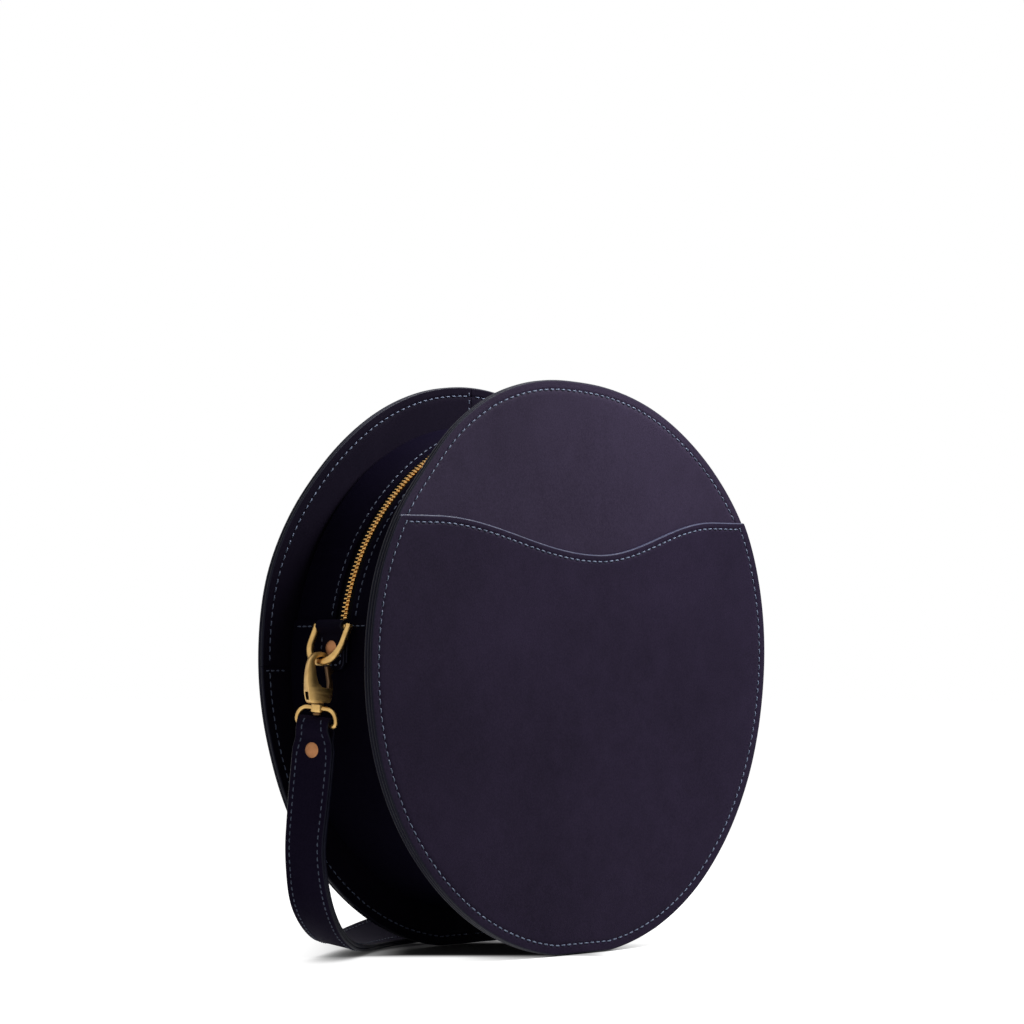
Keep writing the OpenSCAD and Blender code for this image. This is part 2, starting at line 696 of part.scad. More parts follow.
module strap_rivet_right() color(copper) placed() right_side() at_eye() strap_rivet();

// The strap hangs from its left end, turns up on its edge as it lands, winds
// into the coil, and comes out behind the coil to rise to its right end.
// Each place is a point and the way that the strap's rear edge faces there.
end_gap = 0.4;
hang_l = eye_bar_drop + strap_end_l + end_gap - tilt_drop;
hang_down = [-sin(eye_tilt) * cos(strap_turn), sin(eye_tilt) * sin(strap_turn), -cos(eye_tilt)];
hang_way = [-cos(eye_tilt) * cos(strap_turn), cos(eye_tilt) * sin(strap_turn), sin(eye_tilt)];
strap_top = [stem_x, zip_y, hook_z - tilt_drop] + hang_l * hang_down;
left_route = [
    [[-117, 5.4, 60], [-0.22, 0.97, 0.04]],
    [[-117.5, 6.2, 47], [-0.17, 0.98, 0]],
    [[-115, 7.8, 34.5], [-0.2, 0.97, 0.02]],
    [[-108.5, 12, 23], [-0.3, 0.93, 0.1]],
    [[-98, 18, 13.5], [-0.38, 0.88, 0.2]],
    [[-85, 25, 7], [-0.42, 0.87, 0.2]],
    [[-70, 34, 4.3], [-0.48, 0.86, 0.2]],
    [[-54, 43.5, 4.2], [-0.4, 0.88, 0.28]],
    [[-36, 50, 5.5], [-0.22, 0.87, 0.42]],
    [[-18, 52, 7], [-0.04, 0.8, 0.6]],
    [[2, 50.5, 9], [0, 0.5, 0.85]],
    [[22, 46.5, 9.7], [0, 0.2, 1]],
    [[41, 42, 9.6], [0, 0, 1]]
];
right_route = [
    [[74, 106.5, 9.5], [0, 0, 1]],
    [[90, 99, 9.5], [0, 0, 1]],
    [[101, 86, 9.5], [0, 0, 1]],
    [[107, 70, 9.6], [0.05, 0, 1]],
    [[110, 54, 9.9], [0.25, 0, 1]],
    [[111.5, 40, 10], [0.6, 0, 0.85]],
    [[112.5, 27, 12], [0.85, 0.1, 0.5]],
    [[113.5, 15.5, 19], [1, 0.2, 0.25]],
    [[114, 8, 32], [0.93, 0.45, 0.1]],
    [[114.5, 4.5, 46], [0.72, 0.75, 0]],
    [[116, 4.9, 60], [0.4, 0.92, 0.05]]
];

// Half of the coil, from outside in: its arm, then a half turn to the middle
function coil_arm() = [for (a = [360 * coil_turns : -coil_step : 0])
    let (r = coil_in_r + coil_pitch * a / 360) r * [cos(a), -sin(a)]];
function coil_core() = [for (a = [coil_step * 2 : coil_step * 2 : 180 - coil_step])
    coil_in_r / 2 * [1 + cos(a), sin(a)]];
// The arm's outer end faces the bag
coil_set_a = 360 * coil_turns - 90;
function coil_half(sign) = [for (p = concat(coil_arm(), coil_core()))
    [coil_x + sign * (p.x * cos(coil_set_a) - p.y * sin(coil_set_a)),
        coil_y + sign * (p.x * sin(coil_set_a) + p.y * cos(coil_set_a)), strap_w / 2]];
function reversed(list) = [for (i = [len(list) - 1 : -1 : 0]) list[i]];

// Points between the places of a route, n to each step
function rounded(list, n) = [for (i = [0 : len(list) - 2], k = [0 : n - 1])
    let (p = list[max(i - 1, 0)], a = list[i], b = list[i + 1], c = list[min(i + 2, len(list) - 1)])
        [spline(p[0], a[0], b[0], c[0], k / n), spline(p[1], a[1], b[1], c[1], k / n)]];

strap_line = let (
    coil = [for (p = concat(coil_half(1), [[coil_x, coil_y, strap_w / 2]], reversed(coil_half(-1))))
        [p, [0, 0, 1]]],
    left = concat([[strap_top, hang_way]], left_route, [coil[0]]),
    right = concat([coil[len(coil) - 1]], right_route,
        [[[-strap_top.x, strap_top.y, strap_top.z], [-hang_way.x, hang_way.y, hang_way.z]]]))
    concat(rounded(left, 3), coil, [for (i = [1 : 3 * (len(right) - 1) - 1]) rounded(right, 3)[i]],
        [right[len(right) - 1]]);

module strap() {
    line = [for (q = strap_line) q[0]];
    count = len(line);
    rings = [for (i = [0 : count - 1])
        let (t = i == 0 ? hang_down
            : i == count - 1 ? [hang_down.x, -hang_down.y, -hang_down.z] : tangent(line, i),
            w = unit(strap_line[i][1] - (strap_line[i][1] * t) * t), n = cross(t, w))
            for (s = [[-1, -1], [1, -1], [1, 1], [-1, 1]])
                line[i] + s.x * strap_w / 2 * w + s.y * strap_pair / 2 * n];
    last = (count - 1) * 4;
    color(leather) placed() polyhedron(rings, concat([[3, 2, 1, 0], [for (k = [0 : 3]) last + k]],
        [for (i = [0 : count - 2], k = [0 : 3]) let (a = 4 * i + k, b = 4 * i + (k + 1) % 4)
            each [[a, b, a + 4], [b, b + 4, a + 4]]]));
}

front_panel();
front_pocket();
front_flange();
back_flange();
back_panel();
gusset();
zip_strip_front();
zip_strip_back();
zip_tape_front();
zip_tape_back();
zip_teeth_front();
zip_teeth_back();
zip_stops();
zip_slider();
zip_pull();
ring_tab_left();
ring_tab_right();
tab_rivet_left();
tab_rivet_right();
d_ring_left();
d_ring_right();
snap_hook_left();
snap_hook_right();
hook_gate_left();
hook_gate_right();
gate_pin_left();
gate_pin_right();
gate_spring_left();
gate_spring_right();
swivel_pin_left();
swivel_pin_right();
swivel_eye_left();
swivel_eye_right();
strap_end_left();
strap_end_right();
strap_rivet_left();
strap_rivet_right();
strap();
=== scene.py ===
import json
import math

import bmesh
import bpy
import numpy as np
from mathutils import Matrix, Vector, noise
from mathutils.bvhtree import BVHTree


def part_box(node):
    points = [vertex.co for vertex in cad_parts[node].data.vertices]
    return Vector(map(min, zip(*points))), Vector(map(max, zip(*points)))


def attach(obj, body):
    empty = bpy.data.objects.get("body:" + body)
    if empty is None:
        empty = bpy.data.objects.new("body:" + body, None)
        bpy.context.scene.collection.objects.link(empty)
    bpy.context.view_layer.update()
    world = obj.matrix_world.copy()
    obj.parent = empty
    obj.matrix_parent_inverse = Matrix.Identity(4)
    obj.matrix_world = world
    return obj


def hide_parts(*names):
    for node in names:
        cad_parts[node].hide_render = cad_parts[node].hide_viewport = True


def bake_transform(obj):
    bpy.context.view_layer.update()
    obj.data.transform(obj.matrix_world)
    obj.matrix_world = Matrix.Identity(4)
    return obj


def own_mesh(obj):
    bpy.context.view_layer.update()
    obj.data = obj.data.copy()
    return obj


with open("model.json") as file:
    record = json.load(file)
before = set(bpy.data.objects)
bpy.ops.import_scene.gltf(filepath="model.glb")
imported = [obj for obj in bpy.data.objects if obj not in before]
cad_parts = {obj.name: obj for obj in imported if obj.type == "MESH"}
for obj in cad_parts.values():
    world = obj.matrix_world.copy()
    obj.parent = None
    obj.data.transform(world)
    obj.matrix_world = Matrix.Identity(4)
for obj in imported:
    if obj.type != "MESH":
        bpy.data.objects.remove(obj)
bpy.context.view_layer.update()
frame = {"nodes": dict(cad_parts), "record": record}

# Camera
# It stands low, in front of the bag and to its left, and looks level at the
# bag's middle from about a metre and a third, so both round panels show.
camera_data = bpy.data.cameras.new("camera")
camera_data.lens = 107.3
camera_data.sensor_width = 36
camera_data.clip_end = 20
camera = bpy.data.objects.new("camera", camera_data)
camera_place = (-0.93104, -0.94741, 0.12315)
camera_turn, camera_tilt = math.radians(-45.47), math.radians(-2.72)
camera_back = Vector((math.sin(camera_turn) * math.cos(camera_tilt),
                      -math.cos(camera_turn) * math.cos(camera_tilt), math.sin(camera_tilt)))
camera_right = Vector((math.cos(camera_turn), math.sin(camera_turn), 0))
camera.matrix_world = Matrix.Translation(camera_place) @ Matrix(
    (camera_right, camera_back.cross(camera_right), camera_back)).transposed().to_4x4()
bpy.context.scene.collection.objects.link(camera)
bpy.context.scene.camera = camera

# Front panel
# A round of firm calf leather, 240 mm across, its cut edge painted. It stands
# on its lowest edge, and its rim waves a little where it was sewn by hand.
mm = 0.001
rng = np.random.default_rng(7)
panel_r, panel_t = 120.0, 1.5
middle_z = 119.18


def paint(red, green, blue):
    """A colour as a swatch gives it, from 0 to 255, in the linear values that shaders take."""
    shares = [swatch / 255 for swatch in (red, green, blue)]
    return [(c / 12.92 if c <= 0.04045 else ((c + 0.055) / 1.055) ** 2.4) for c in shares] + [1]


def add(tree, kind, sockets=None, **settings):
    """One shader node in a tree, with its settings and what feeds its sockets."""
    made = tree.nodes.new("ShaderNode" + kind)
    for name, value in settings.items():
        setattr(made, name, value)
    for name, value in (sockets or {}).items():
        if isinstance(value, bpy.types.NodeSocket):
            tree.links.new(value, made.inputs[name])
        else:
            made.inputs[name].default_value = value
    return made


def effect(name, inputs, outputs):
    """A shader node group with named sockets, and its two ends."""
    group = bpy.data.node_groups.new(name, "ShaderNodeTree")
    for label, kind, value in inputs:
        socket = group.interface.new_socket(label, in_out="INPUT", socket_type="NodeSocket" + kind)
        if value is not None:
            socket.default_value = value
    for label, kind in outputs:
        group.interface.new_socket(label, in_out="OUTPUT", socket_type="NodeSocket" + kind)
    return group, group.nodes.new("NodeGroupInput"), group.nodes.new("NodeGroupOutput")


def clouds(tree, place, scale, detail=2.0, rough=0.5):
    """Cloudy noise of one size, from 0 to 1."""
    sockets = {"Vector": place, "Scale": scale, "Detail": detail, "Roughness": rough}
    return add(tree, "TexNoise", sockets).outputs["Fac"]


def plus(tree, value, share, more):
    """A share of one value, plus another value."""
    return add(tree, "Math", {0: value, 1: share, 2: more}, operation="MULTIPLY_ADD").outputs[0]


def spread(tree, value, low, high, to_low=0.0, to_high=1.0, soft="LINEAR"):
    """A value moved from one range to another, and held at its ends."""
    sockets = {"Value": value, "From Min": low, "From Max": high, "To Min": to_low, "To Max": to_high}
    return add(tree, "MapRange", sockets, interpolation_type=soft).outputs["Result"]


def times(tree, one, other):
    """One value times another."""
    return add(tree, "Math", {0: one, 1: other}, operation="MULTIPLY").outputs[0]


def between(tree, share, deep, pale):
    """A colour between two, by a share."""
    mix = add(tree, "Mix", data_type="RGBA")
    mix.inputs[6].default_value, mix.inputs[7].default_value = deep, pale
    tree.links.new(share, mix.inputs[0])
    return mix.outputs[2]


def material(name):
    """A new material with its tree, its shader and the object's own coordinates."""
    made = bpy.data.materials.new(name)
    made.use_nodes = True
    tree = made.node_tree
    return made, tree, tree.nodes["Principled BSDF"], add(tree, "TexCoord").outputs["Object"]


def dress(tree, shader, colour, height, strength, depth):
    """Give a shader its colour and a low relief."""
    relief = add(tree, "Bump", {"Height": height, "Strength": strength, "Distance": depth})
    tree.links.new(colour, shader.inputs["Base Color"])
    tree.links.new(relief.outputs["Normal"], shader.inputs["Normal"])


def roughen(tree, shader, uneven, rough):
    """Give a shader its roughness, a little uneven over the surface."""
    whole = add(tree, "Math", {0: uneven, 1: rough}, operation="ADD")
    tree.links.new(whole.outputs[0], shader.inputs["Roughness"])


# Calf grain: pebbles parted by fine creases, over a slow drift of tone
grain, grain_in, grain_out = effect(
    "leather_grain",
    [("Place", "Vector", None), ("Pebbles", "Float", 2200.0), ("Crease", "Float", 0.5),
     ("Drift", "Float", 14.0)],
    [("Tone", "Float"), ("Sheen", "Float"), ("Height", "Float")])
skin_place = grain_in.outputs["Place"]
pebbles = add(grain, "TexVoronoi", {"Vector": skin_place, "Scale": grain_in.outputs["Pebbles"],
                                    "Randomness": 1.0}, feature="DISTANCE_TO_EDGE")
creases = spread(grain, pebbles.outputs["Distance"], 0.0, 0.22, soft="SMOOTHSTEP")
pores = clouds(grain, skin_place, 1300.0, 4.0)
drift = clouds(grain, skin_place, grain_in.outputs["Drift"], 4.0, 0.55)
scuffs = clouds(grain, skin_place, 110.0, 5.0, 0.7)
creased = times(grain, creases, grain_in.outputs["Crease"])
grain.links.new(plus(grain, scuffs, 0.5, plus(grain, pores, 0.35, creased)), grain_out.inputs["Height"])
toned_slow = plus(grain, scuffs, 0.45, drift)
grain.links.new(spread(grain, plus(grain, pores, 0.9, toned_slow), 0.85, 1.5), grain_out.inputs["Tone"])
grain.links.new(spread(grain, toned_slow, 0.4, 1.05, 0.06, -0.06), grain_out.inputs["Sheen"])


def leather(name, deep, pale, rough, shine, bump=0.22, pebble=2200.0):
    """Dyed leather: two close colours that drift into each other, and a low grain."""
    made, tree, shader, place = material(name)
    skin = add(tree, "Group", {"Place": place, "Pebbles": pebble}, node_tree=grain)
    colour = between(tree, skin.outputs["Tone"], deep, pale)
    dress(tree, shader, colour, skin.outputs["Height"], bump, 0.0003)
    roughen(tree, shader, skin.outputs["Sheen"], rough)
    shader.inputs["Specular IOR Level"].default_value = shine
    return made


panel_leather = leather("panel_leather", paint(36, 29, 46), paint(49, 41, 61), 0.6, 0.05)
edge_paint = leather("edge_paint", paint(13, 13, 27), paint(24, 25, 44), 0.45, 0.1, bump=0.15, pebble=700.0)

# The waxed thread of every seam, twisted from three strands
thread, thread_tree, thread_shader, thread_place = material("waxed_thread")
strands = add(thread_tree, "TexWave", {"Vector": thread_place, "Scale": 620.0, "Distortion": 2.0},
              wave_type="BANDS", bands_direction="DIAGONAL")
thread_fuzz = clouds(thread_tree, thread_place, 900.0)
thread_colour = between(thread_tree, thread_fuzz, paint(66, 76, 100), paint(104, 116, 142))
dress(thread_tree, thread_shader, thread_colour, strands.outputs["Fac"], 0.5, 0.00015)
thread_shader.inputs["Roughness"].default_value = 0.6


def piece(name, places, faces, finishes, face_finish=None, crease=40, body="bag", slot=None):
    """A mesh from places in millimetres, shaded smooth but for its sharp turns, riding on a body."""
    mesh = bpy.data.meshes.new(name)
    mesh.from_pydata((np.asarray(places, float) * mm).tolist(), [], faces)
    for finish in finishes:
        mesh.materials.append(finish)
    if face_finish is not None:
        mesh.polygons.foreach_set("material_index", face_finish)
    rounded = bmesh.new()
    rounded.from_mesh(mesh)
    bmesh.ops.recalc_face_normals(rounded, faces=rounded.faces)
    rounded.to_mesh(mesh)
    rounded.free()
    mesh.shade_smooth()
    mesh.set_sharp_from_angle(angle=math.radians(crease))
    made = bpy.data.objects.new(name, mesh)
    bpy.context.scene.collection.objects.link(made)
    if body:
        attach(made, body)
    return made


def swept(rings, closed):
    """Faces that join rings of places, one ring after the other, each ring closed in itself."""
    count, sides = rings.shape[0], rings.shape[1]
    at = np.arange(count * sides).reshape(count, sides)
    after = np.roll(at, -1, axis=0) if closed else at[1:]
    here = at if closed else at[:-1]
    faces = np.stack([here, np.roll(here, -1, axis=1), np.roll(after, -1, axis=1), after], axis=-1)
    faces = faces.reshape(-1, 4).tolist()
    if not closed:
        faces += [at[0].tolist(), at[-1][::-1].tolist()]
    return rings.reshape(-1, 3), faces


def rim(off):
    """A hand-cut round's radius at each angle, from what it is off the round at every 12 degrees,
    clockwise from the bottom."""
    clock = np.arange(360.0)
    off = np.interp(clock, np.arange(-180.0, 180, 12) % 360, off, period=360)
    for _ in range(16):
        off = (np.roll(off, 1) + 2 * off + np.roll(off, -1)) / 4

    def reach(angle):
        cut = panel_r + np.interp((90 - np.degrees(angle)) % 360, clock, off, period=360)
        down = np.minimum(np.sin(angle), -1e-6)
        return np.where(np.sin(angle) < 0, np.minimum(cut, -middle_z / down), cut)
    return reach


# How far in from its rim a sheet's rings lie, then at what shares of the way to its inner edge
near_rim = np.array([0.5, 1.0, 1.6, 2.1, 2.5, 2.9, 3.3, 3.7, 4.1, 4.5, 5.0, 6.4, 8.0])
inner_shares = np.array([0.96, 0.88, 0.76, 0.63, 0.5, 0.37, 0.24, 0.12, 0.0])
far_from_rows = 99.0
channel_deep, channel_wide = 0.32, 0.55
edge_round, corner_in, corner_deep = 0.45, 0.16, 0.14


def leather_round(name, angles, reach, slope, inner, front_y, thickness, sway, front_row, back_row, finishes,
                  top=None, closed=True, **facts):
    """A cut sheet that stands upright: a front, a rounded painted edge and a back, with a shallow
    channel pressed in under each row of stitches. Its top edge can have a lighter paint of its own, a
    painted highlight."""
    outer = reach(angles)
    section = []
    for inwards, flat, row in ((1, front_y, front_row), (-1, front_y + thickness, back_row)):
        side = [(outer - inset * slope, inset) for inset in near_rim]
        side += [(inner + (outer - near_rim[-1] * slope - inner) * share, far_from_rows)
                 for share in inner_shares]
        rings = []
        for r, inset in side:
            press = 0 if row is None else channel_deep * np.exp(-((inset - row) / channel_wide) ** 2)
            rings.append((r, flat + inwards * press))
        corner = [(outer - corner_in, flat + inwards * corner_deep), (outer, flat + inwards * edge_round)]
        section += rings[::-1] + corner if inwards > 0 else corner[::-1] + rings
    around = []
    for r, y in section:
        y = y + sway(angles, r)
        around.append(np.stack([r * np.cos(angles), y * np.ones_like(angles), middle_z + r * np.sin(angles)],
                               axis=-1))
    rings = np.stack(around, axis=1)
    places, faces = swept(rings, closed)
    sides = rings.shape[1]
    edge_from = len(near_rim) + len(inner_shares) - 1
    index = np.arange(rings.shape[0] * sides if closed else (rings.shape[0] - 1) * sides)
    on_edge = (index % sides >= edge_from) & (index % sides < edge_from + 5)
    painted = (on_edge * (1 if top is None else 1 + top[index // sides])).astype(int).tolist()
    painted += [1] * (len(faces) - len(painted))
    return piece(name, places, faces, finishes, painted, **facts)


def stitch_row(line, out, pitch=3.5, length=2.45, width=0.62, closed=False, lean=1.5):
    """Stitches along a line, each a short arched thread whose ends sink into the leather."""
    line = np.asarray(line, float)
    out = np.broadcast_to(np.asarray(out, float), line.shape)
    if closed:
        line, out = np.vstack([line, line[:1]]), np.vstack([out, out[:1]])
    run = np.concatenate([[0], np.cumsum(np.linalg.norm(np.diff(line, axis=0), axis=1))])
    count = max(1, round(run[-1] / pitch))
    at = (np.arange(count) + 0.5) * run[-1] / count
    centre, up = (np.stack([np.interp(at, run, v[:, i]) for i in range(3)], axis=1) for v in (line, out))
    ahead = np.stack([np.interp(np.minimum(at + 1, run[-1]), run, line[:, i])
                      - np.interp(np.maximum(at - 1, 0), run, line[:, i]) for i in range(3)], axis=1)
    ahead /= np.linalg.norm(ahead, axis=1)[:, None]
    up = up - np.sum(up * ahead, axis=1)[:, None] * ahead
    up /= np.linalg.norm(up, axis=1)[:, None]
    across = np.cross(up, ahead)
    tilt = np.radians(rng.normal(0, lean, count))[:, None]
    ahead, across = (ahead * np.cos(tilt) + across * np.sin(tilt),
                     across * np.cos(tilt) - ahead * np.sin(tilt))
    size = length * rng.uniform(0.94, 1.04, count)[:, None]
    along = np.array([-0.5, -0.4, -0.15, 0.15, 0.4, 0.5])
    girth = np.array([0.4, 0.86, 1, 1, 0.86, 0.4]) * width / 2
    lift = np.array([-0.5, 0.05, 0.32, 0.32, 0.05, -0.5]) * width
    turn = np.arange(6) * math.pi / 3
    places = (centre[:, None, None] + along[None, :, None, None] * (size * ahead)[:, None, None]
              + lift[None, :, None, None] * up[:, None, None]
              + (girth[:, None] * np.cos(turn))[None, :, :, None] * across[:, None, None]
              + (girth[:, None] * np.sin(turn) * 0.85)[None, :, :, None] * up[:, None, None])
    one = [[i * 6 + k, i * 6 + (k + 1) % 6, (i + 1) * 6 + (k + 1) % 6, (i + 1) * 6 + k]
           for i in range(5) for k in range(6)]
    one += [[5, 4, 3, 2, 1, 0], [30, 31, 32, 33, 34, 35]]
    faces = [[n + 36 * s for n in face] for s in range(count) for face in one]
    return places.reshape(-1, 3), faces


def stitches(name, rows, body="bag", slot=None):
    """All the rows of one seam as one piece of thread."""
    places, faces, start = [], [], 0
    for row_places, row_faces in rows:
        places.append(row_places)
        faces += [[n + start for n in face] for face in row_faces]
        start += len(row_places)
    return piece(name, np.vstack(places), faces, [thread], crease=80, body=body, slot=slot)


front_low, front_high = (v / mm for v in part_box("front_panel"))
turn_round = np.linspace(0, 2 * math.pi, 361)[:-1]
rim_row, sunk = 4.0, 0.2
front_rim = rim([0.1, 0.1, 0, -0.2, -0.5, -0.8, -1.1, -1.1, -0.6, 0, -0.3, -1.4, 1.0, 1.9, 1.0,
                 -0.8, -0.5, 0.6, 1.5, 2.7, 4.0, 2.6, 1.3, 0, -0.6, -0.8, -0.2, 0.8, 1.1, 0.7])


def rim_sway(angle, r, broad, broad_turn, tight, tight_turn):
    """How far the sewn layers of a rim lean forward or back, in millimetres: most at the top."""
    loose = np.clip((r - 60) / 60, 0, 1) ** 2
    waves = broad * np.sin(2 * angle + broad_turn) + tight * np.sin(5 * angle + tight_turn)
    return loose * waves * np.clip(1.3 + np.sin(angle), 0, 1)


def front_sway(angle, r):
    """The lean of the layers in front."""
    return rim_sway(angle, r, 0.55, 0.7, 0.4, 2.2)


front_panel = leather_round("front_panel_leather", turn_round, front_rim, 1.0, 0.01, front_low.y, panel_t,
                            front_sway, rim_row, rim_row, [panel_leather, edge_paint], slot="panel_leather")
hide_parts("front_panel")


def rim_line(reach, y, sway, angles):
    """The line on which a round's rim is sewn."""
    r = reach(angles) - rim_row
    return np.stack([r * np.cos(angles), y + sway(angles, r), middle_z + r * np.sin(angles)], axis=1)


# The part of the rim's row that the pocket leaves free
above_pocket = np.radians(np.linspace(32.4, 150.3, 240))
panel_seam = rim_line(front_rim, front_low.y + sunk, front_sway, above_pocket)
stitches("front_panel_stitches", [stitch_row(panel_seam, (0, -1, 0))])

# Front pocket
# A slip pocket of the same leather, sewn to the panel round its rim, its colour made darker as painted
# shade. Its top edge is cut in a wave, edge-painted in a lighter tone that is a painted highlight, and has a
# row of stitches of its own.
pocket_t = 1.4
pocket_base, pocket_slant, wave_row_in = 61.8, 0.8, 2.9
pocket_dip, pocket_dip_x, dip_left, dip_right = 15.0, 12.0, 96.0, 74.0


def pocket_edge(x):
    """Height of the pocket's edge above the middle."""
    share = np.clip(np.abs((x - pocket_dip_x) / np.where(x < pocket_dip_x, dip_left, dip_right)), 0, 1)
    slant = x * math.tan(math.radians(pocket_slant))
    return pocket_base + slant - pocket_dip * (1 + np.cos(np.pi * share)) / 2


def pocket_reach(angle):
    """Distance from the middle to the pocket's edge or rim, whichever is nearer."""
    low, high = np.zeros_like(angle), front_rim(angle)
    whole = high.copy()
    for _ in range(40):
        half = (low + high) / 2
        above = half * np.sin(angle) > pocket_edge(half * np.cos(angle))
        low, high = np.where(above, low, half), np.where(above, half, high)
    return np.minimum(low + 1e-9, whole)


pocket_angles = np.sort(np.concatenate([turn_round, np.radians(np.linspace(20, 165, 300))]))
pocket_angles = pocket_angles[np.concatenate([[True], np.diff(pocket_angles) > 1e-4])]
pocket_r = pocket_reach(pocket_angles)
on_wave = pocket_r < front_rim(pocket_angles) - 1e-3
wave_x = pocket_r * np.cos(pocket_angles)
wave_slope = pocket_edge(wave_x + 0.5) - pocket_edge(wave_x - 0.5)
wave_normal = np.arctan2(1.0, -wave_slope)
# The pocket's leather is a darker copy of the panel's: painted shade on the lower front
shaded_pocket_leather = leather("shaded_pocket_leather", paint(27, 21, 37), paint(39, 31, 51), 0.6, 0.04)
# The wave edge's paint is lighter than the other edges': a painted highlight where light from above falls on
# it
wave_highlight_paint = leather("wave_edge_highlight_paint", paint(46, 48, 70), paint(66, 70, 98), 0.35, 0.4, bump=0.25,
                     pebble=700.0)
pocket_slope = np.where(on_wave, 1 / np.maximum(np.cos(pocket_angles - wave_normal), 0.45), 1.0)
pocket_row = np.where(on_wave, wave_row_in, rim_row)
corners = pocket_angles[on_wave]
pocket_end_right, pocket_end_left = corners.min(), corners.max()
pocket = leather_round("front_pocket_leather", pocket_angles, pocket_reach, pocket_slope, 0.01,
                       front_low.y - pocket_t, pocket_t - 0.05, front_sway, pocket_row, None,
                       [shaded_pocket_leather, edge_paint, wave_highlight_paint], top=on_wave, slot="panel_leather")
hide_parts("front_pocket")

wave_from, wave_to = (pocket_reach(np.array([a]))[0] * math.cos(a)
                      for a in (pocket_end_left, pocket_end_right))
wave_run = np.linspace(wave_from + 3, wave_to - 3, 200)
wave_row = np.stack([wave_run, np.zeros(200), pocket_edge(wave_run)], axis=1)
wave_lean = np.gradient(wave_row[:, 2], wave_run)
wave_row[:, 0] += wave_row_in * wave_lean / np.sqrt(1 + wave_lean ** 2)
wave_row[:, 2] -= wave_row_in / np.sqrt(1 + wave_lean ** 2)
pocket_face = front_low.y - pocket_t + sunk
wave_row[:, 1] = pocket_face + front_sway(np.arctan2(wave_row[:, 2], wave_row[:, 0]),
                                          np.hypot(wave_row[:, 0], wave_row[:, 2]))
wave_row[:, 2] += middle_z
lower = np.linspace(pocket_end_left, pocket_end_right + 2 * math.pi, 600)
stitches("front_pocket_stitches",
         [stitch_row(wave_row, (0, -1, 0)),
          stitch_row(rim_line(front_rim, pocket_face, front_sway, lower), (0, -1, 0))])

# Flanges
# Each panel has a flange behind its rim: four quarter pieces of leather that
# meet edge to edge. The drum is sewn to them, and the rims are sewn through.
# The flange leather is a darker copy of the panels' leather: painted shade on the flanges
shaded_flange_leather = leather("shaded_flange_leather", paint(16, 12, 25), paint(23, 18, 32), 0.7, 0.02)
flange_in, quarter_gap = 98.0, 0.3
back_rim = rim([0.4, 0.7, 0.9, 0.6, 0, -0.9, -1.7, -1.4, -1.0, -0.1, -0.6, -1.2, -0.5, 0.4, 1.0,
                1.0, 0.3, 0.4, 0.5, 0.7, 0.7, 0.2, -0.4, -0.6, -0.3, -0.1, 0.2, 0.3, 0.3, 0.4])
joint_row_in, joint_row_beside = 106.5, 1.6


def back_sway(angle, r):
    """The lean of the layers at the back."""
    return rim_sway(angle, r, 0.6, 2.4, 0.35, 0.4)


def flange(name, node, reach, sway, seen_front):
    """Four quarters with a row of stitches round the rim and beside each joint."""
    low, high = (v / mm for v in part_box(node))
    made, rows = [], []
    face_y = low.y + sunk if seen_front else high.y - sunk
    out = (0, -1, 0) if seen_front else (0, 1, 0)
    gap = quarter_gap / panel_r / 2
    for quarter in range(4):
        angle = quarter * math.pi / 2
        angles = np.linspace(angle + gap, (quarter + 1) * math.pi / 2 - gap, 100)
        made.append(leather_round(f"{name}_{quarter + 1}", angles, reach, 1.0, flange_in, low.y, panel_t,
                                  sway, rim_row if seen_front else None, None if seen_front else rim_row,
                                  [shaded_flange_leather, edge_paint], closed=False, slot="panel_leather"))
        rows.append(stitch_row(rim_line(reach, face_y, sway, angles[1:-1]), out))
        # The lowest joint goes without a row
        if quarter < 3:
            r = np.linspace(joint_row_in, reach(np.array([angle]))[0] - 1.5, 12)
            x, z = r * math.cos(angle), r * math.sin(angle)
            joint = np.stack([x - joint_row_beside * math.sin(angle), face_y + sway(np.full(12, angle), r),
                              middle_z + z + joint_row_beside * math.cos(angle)], axis=1)
            rows.append(stitch_row(joint, out, pitch=3.0, length=2.1))
    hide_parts(node)
    stitches(f"{name}_stitches", rows)


flange("front_flange_quarter", "front_flange", front_rim, front_sway, False)
flange("back_flange_quarter", "back_flange", back_rim, back_sway, True)

# Back panel
# The same round of calf as in front, but plain. Its painted edge shows beside
# the flange that its rim is sewn to.
back_low, back_high = (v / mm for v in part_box("back_panel"))
back_panel = leather_round("back_panel_leather", turn_round, back_rim, 1.0, 0.01, back_low.y, panel_t,
                           back_sway, rim_row, rim_row, [panel_leather, edge_paint], slot="panel_leather")
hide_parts("back_panel")
back_seam = rim_line(back_rim, back_high.y - sunk, back_sway, turn_round)
stitches("back_panel_stitches", [stitch_row(back_seam, (0, 1, 0), closed=True)])

# Gusset
# The lower band of the drum. Its two edges are rolled and turn inwards against
# the flanges, and its ends lap over the zip strips and are sewn down.
drum_leather = leather("drum_leather", paint(15, 11, 27), paint(22, 18, 35), 0.7, 0.01)
gusset_r, roll_r, seam_w, leather_t, gusset_end = 105.0, 2.6, 7.0, 1.5, 10.5
drum_y0, drum_y1 = front_high.y + leather_t, back_low.y - leather_t
fold_in, fold_deep = 0.3, 0.02
uneven, uneven_turn, uneven_wide = 0.28, 3.2, 26


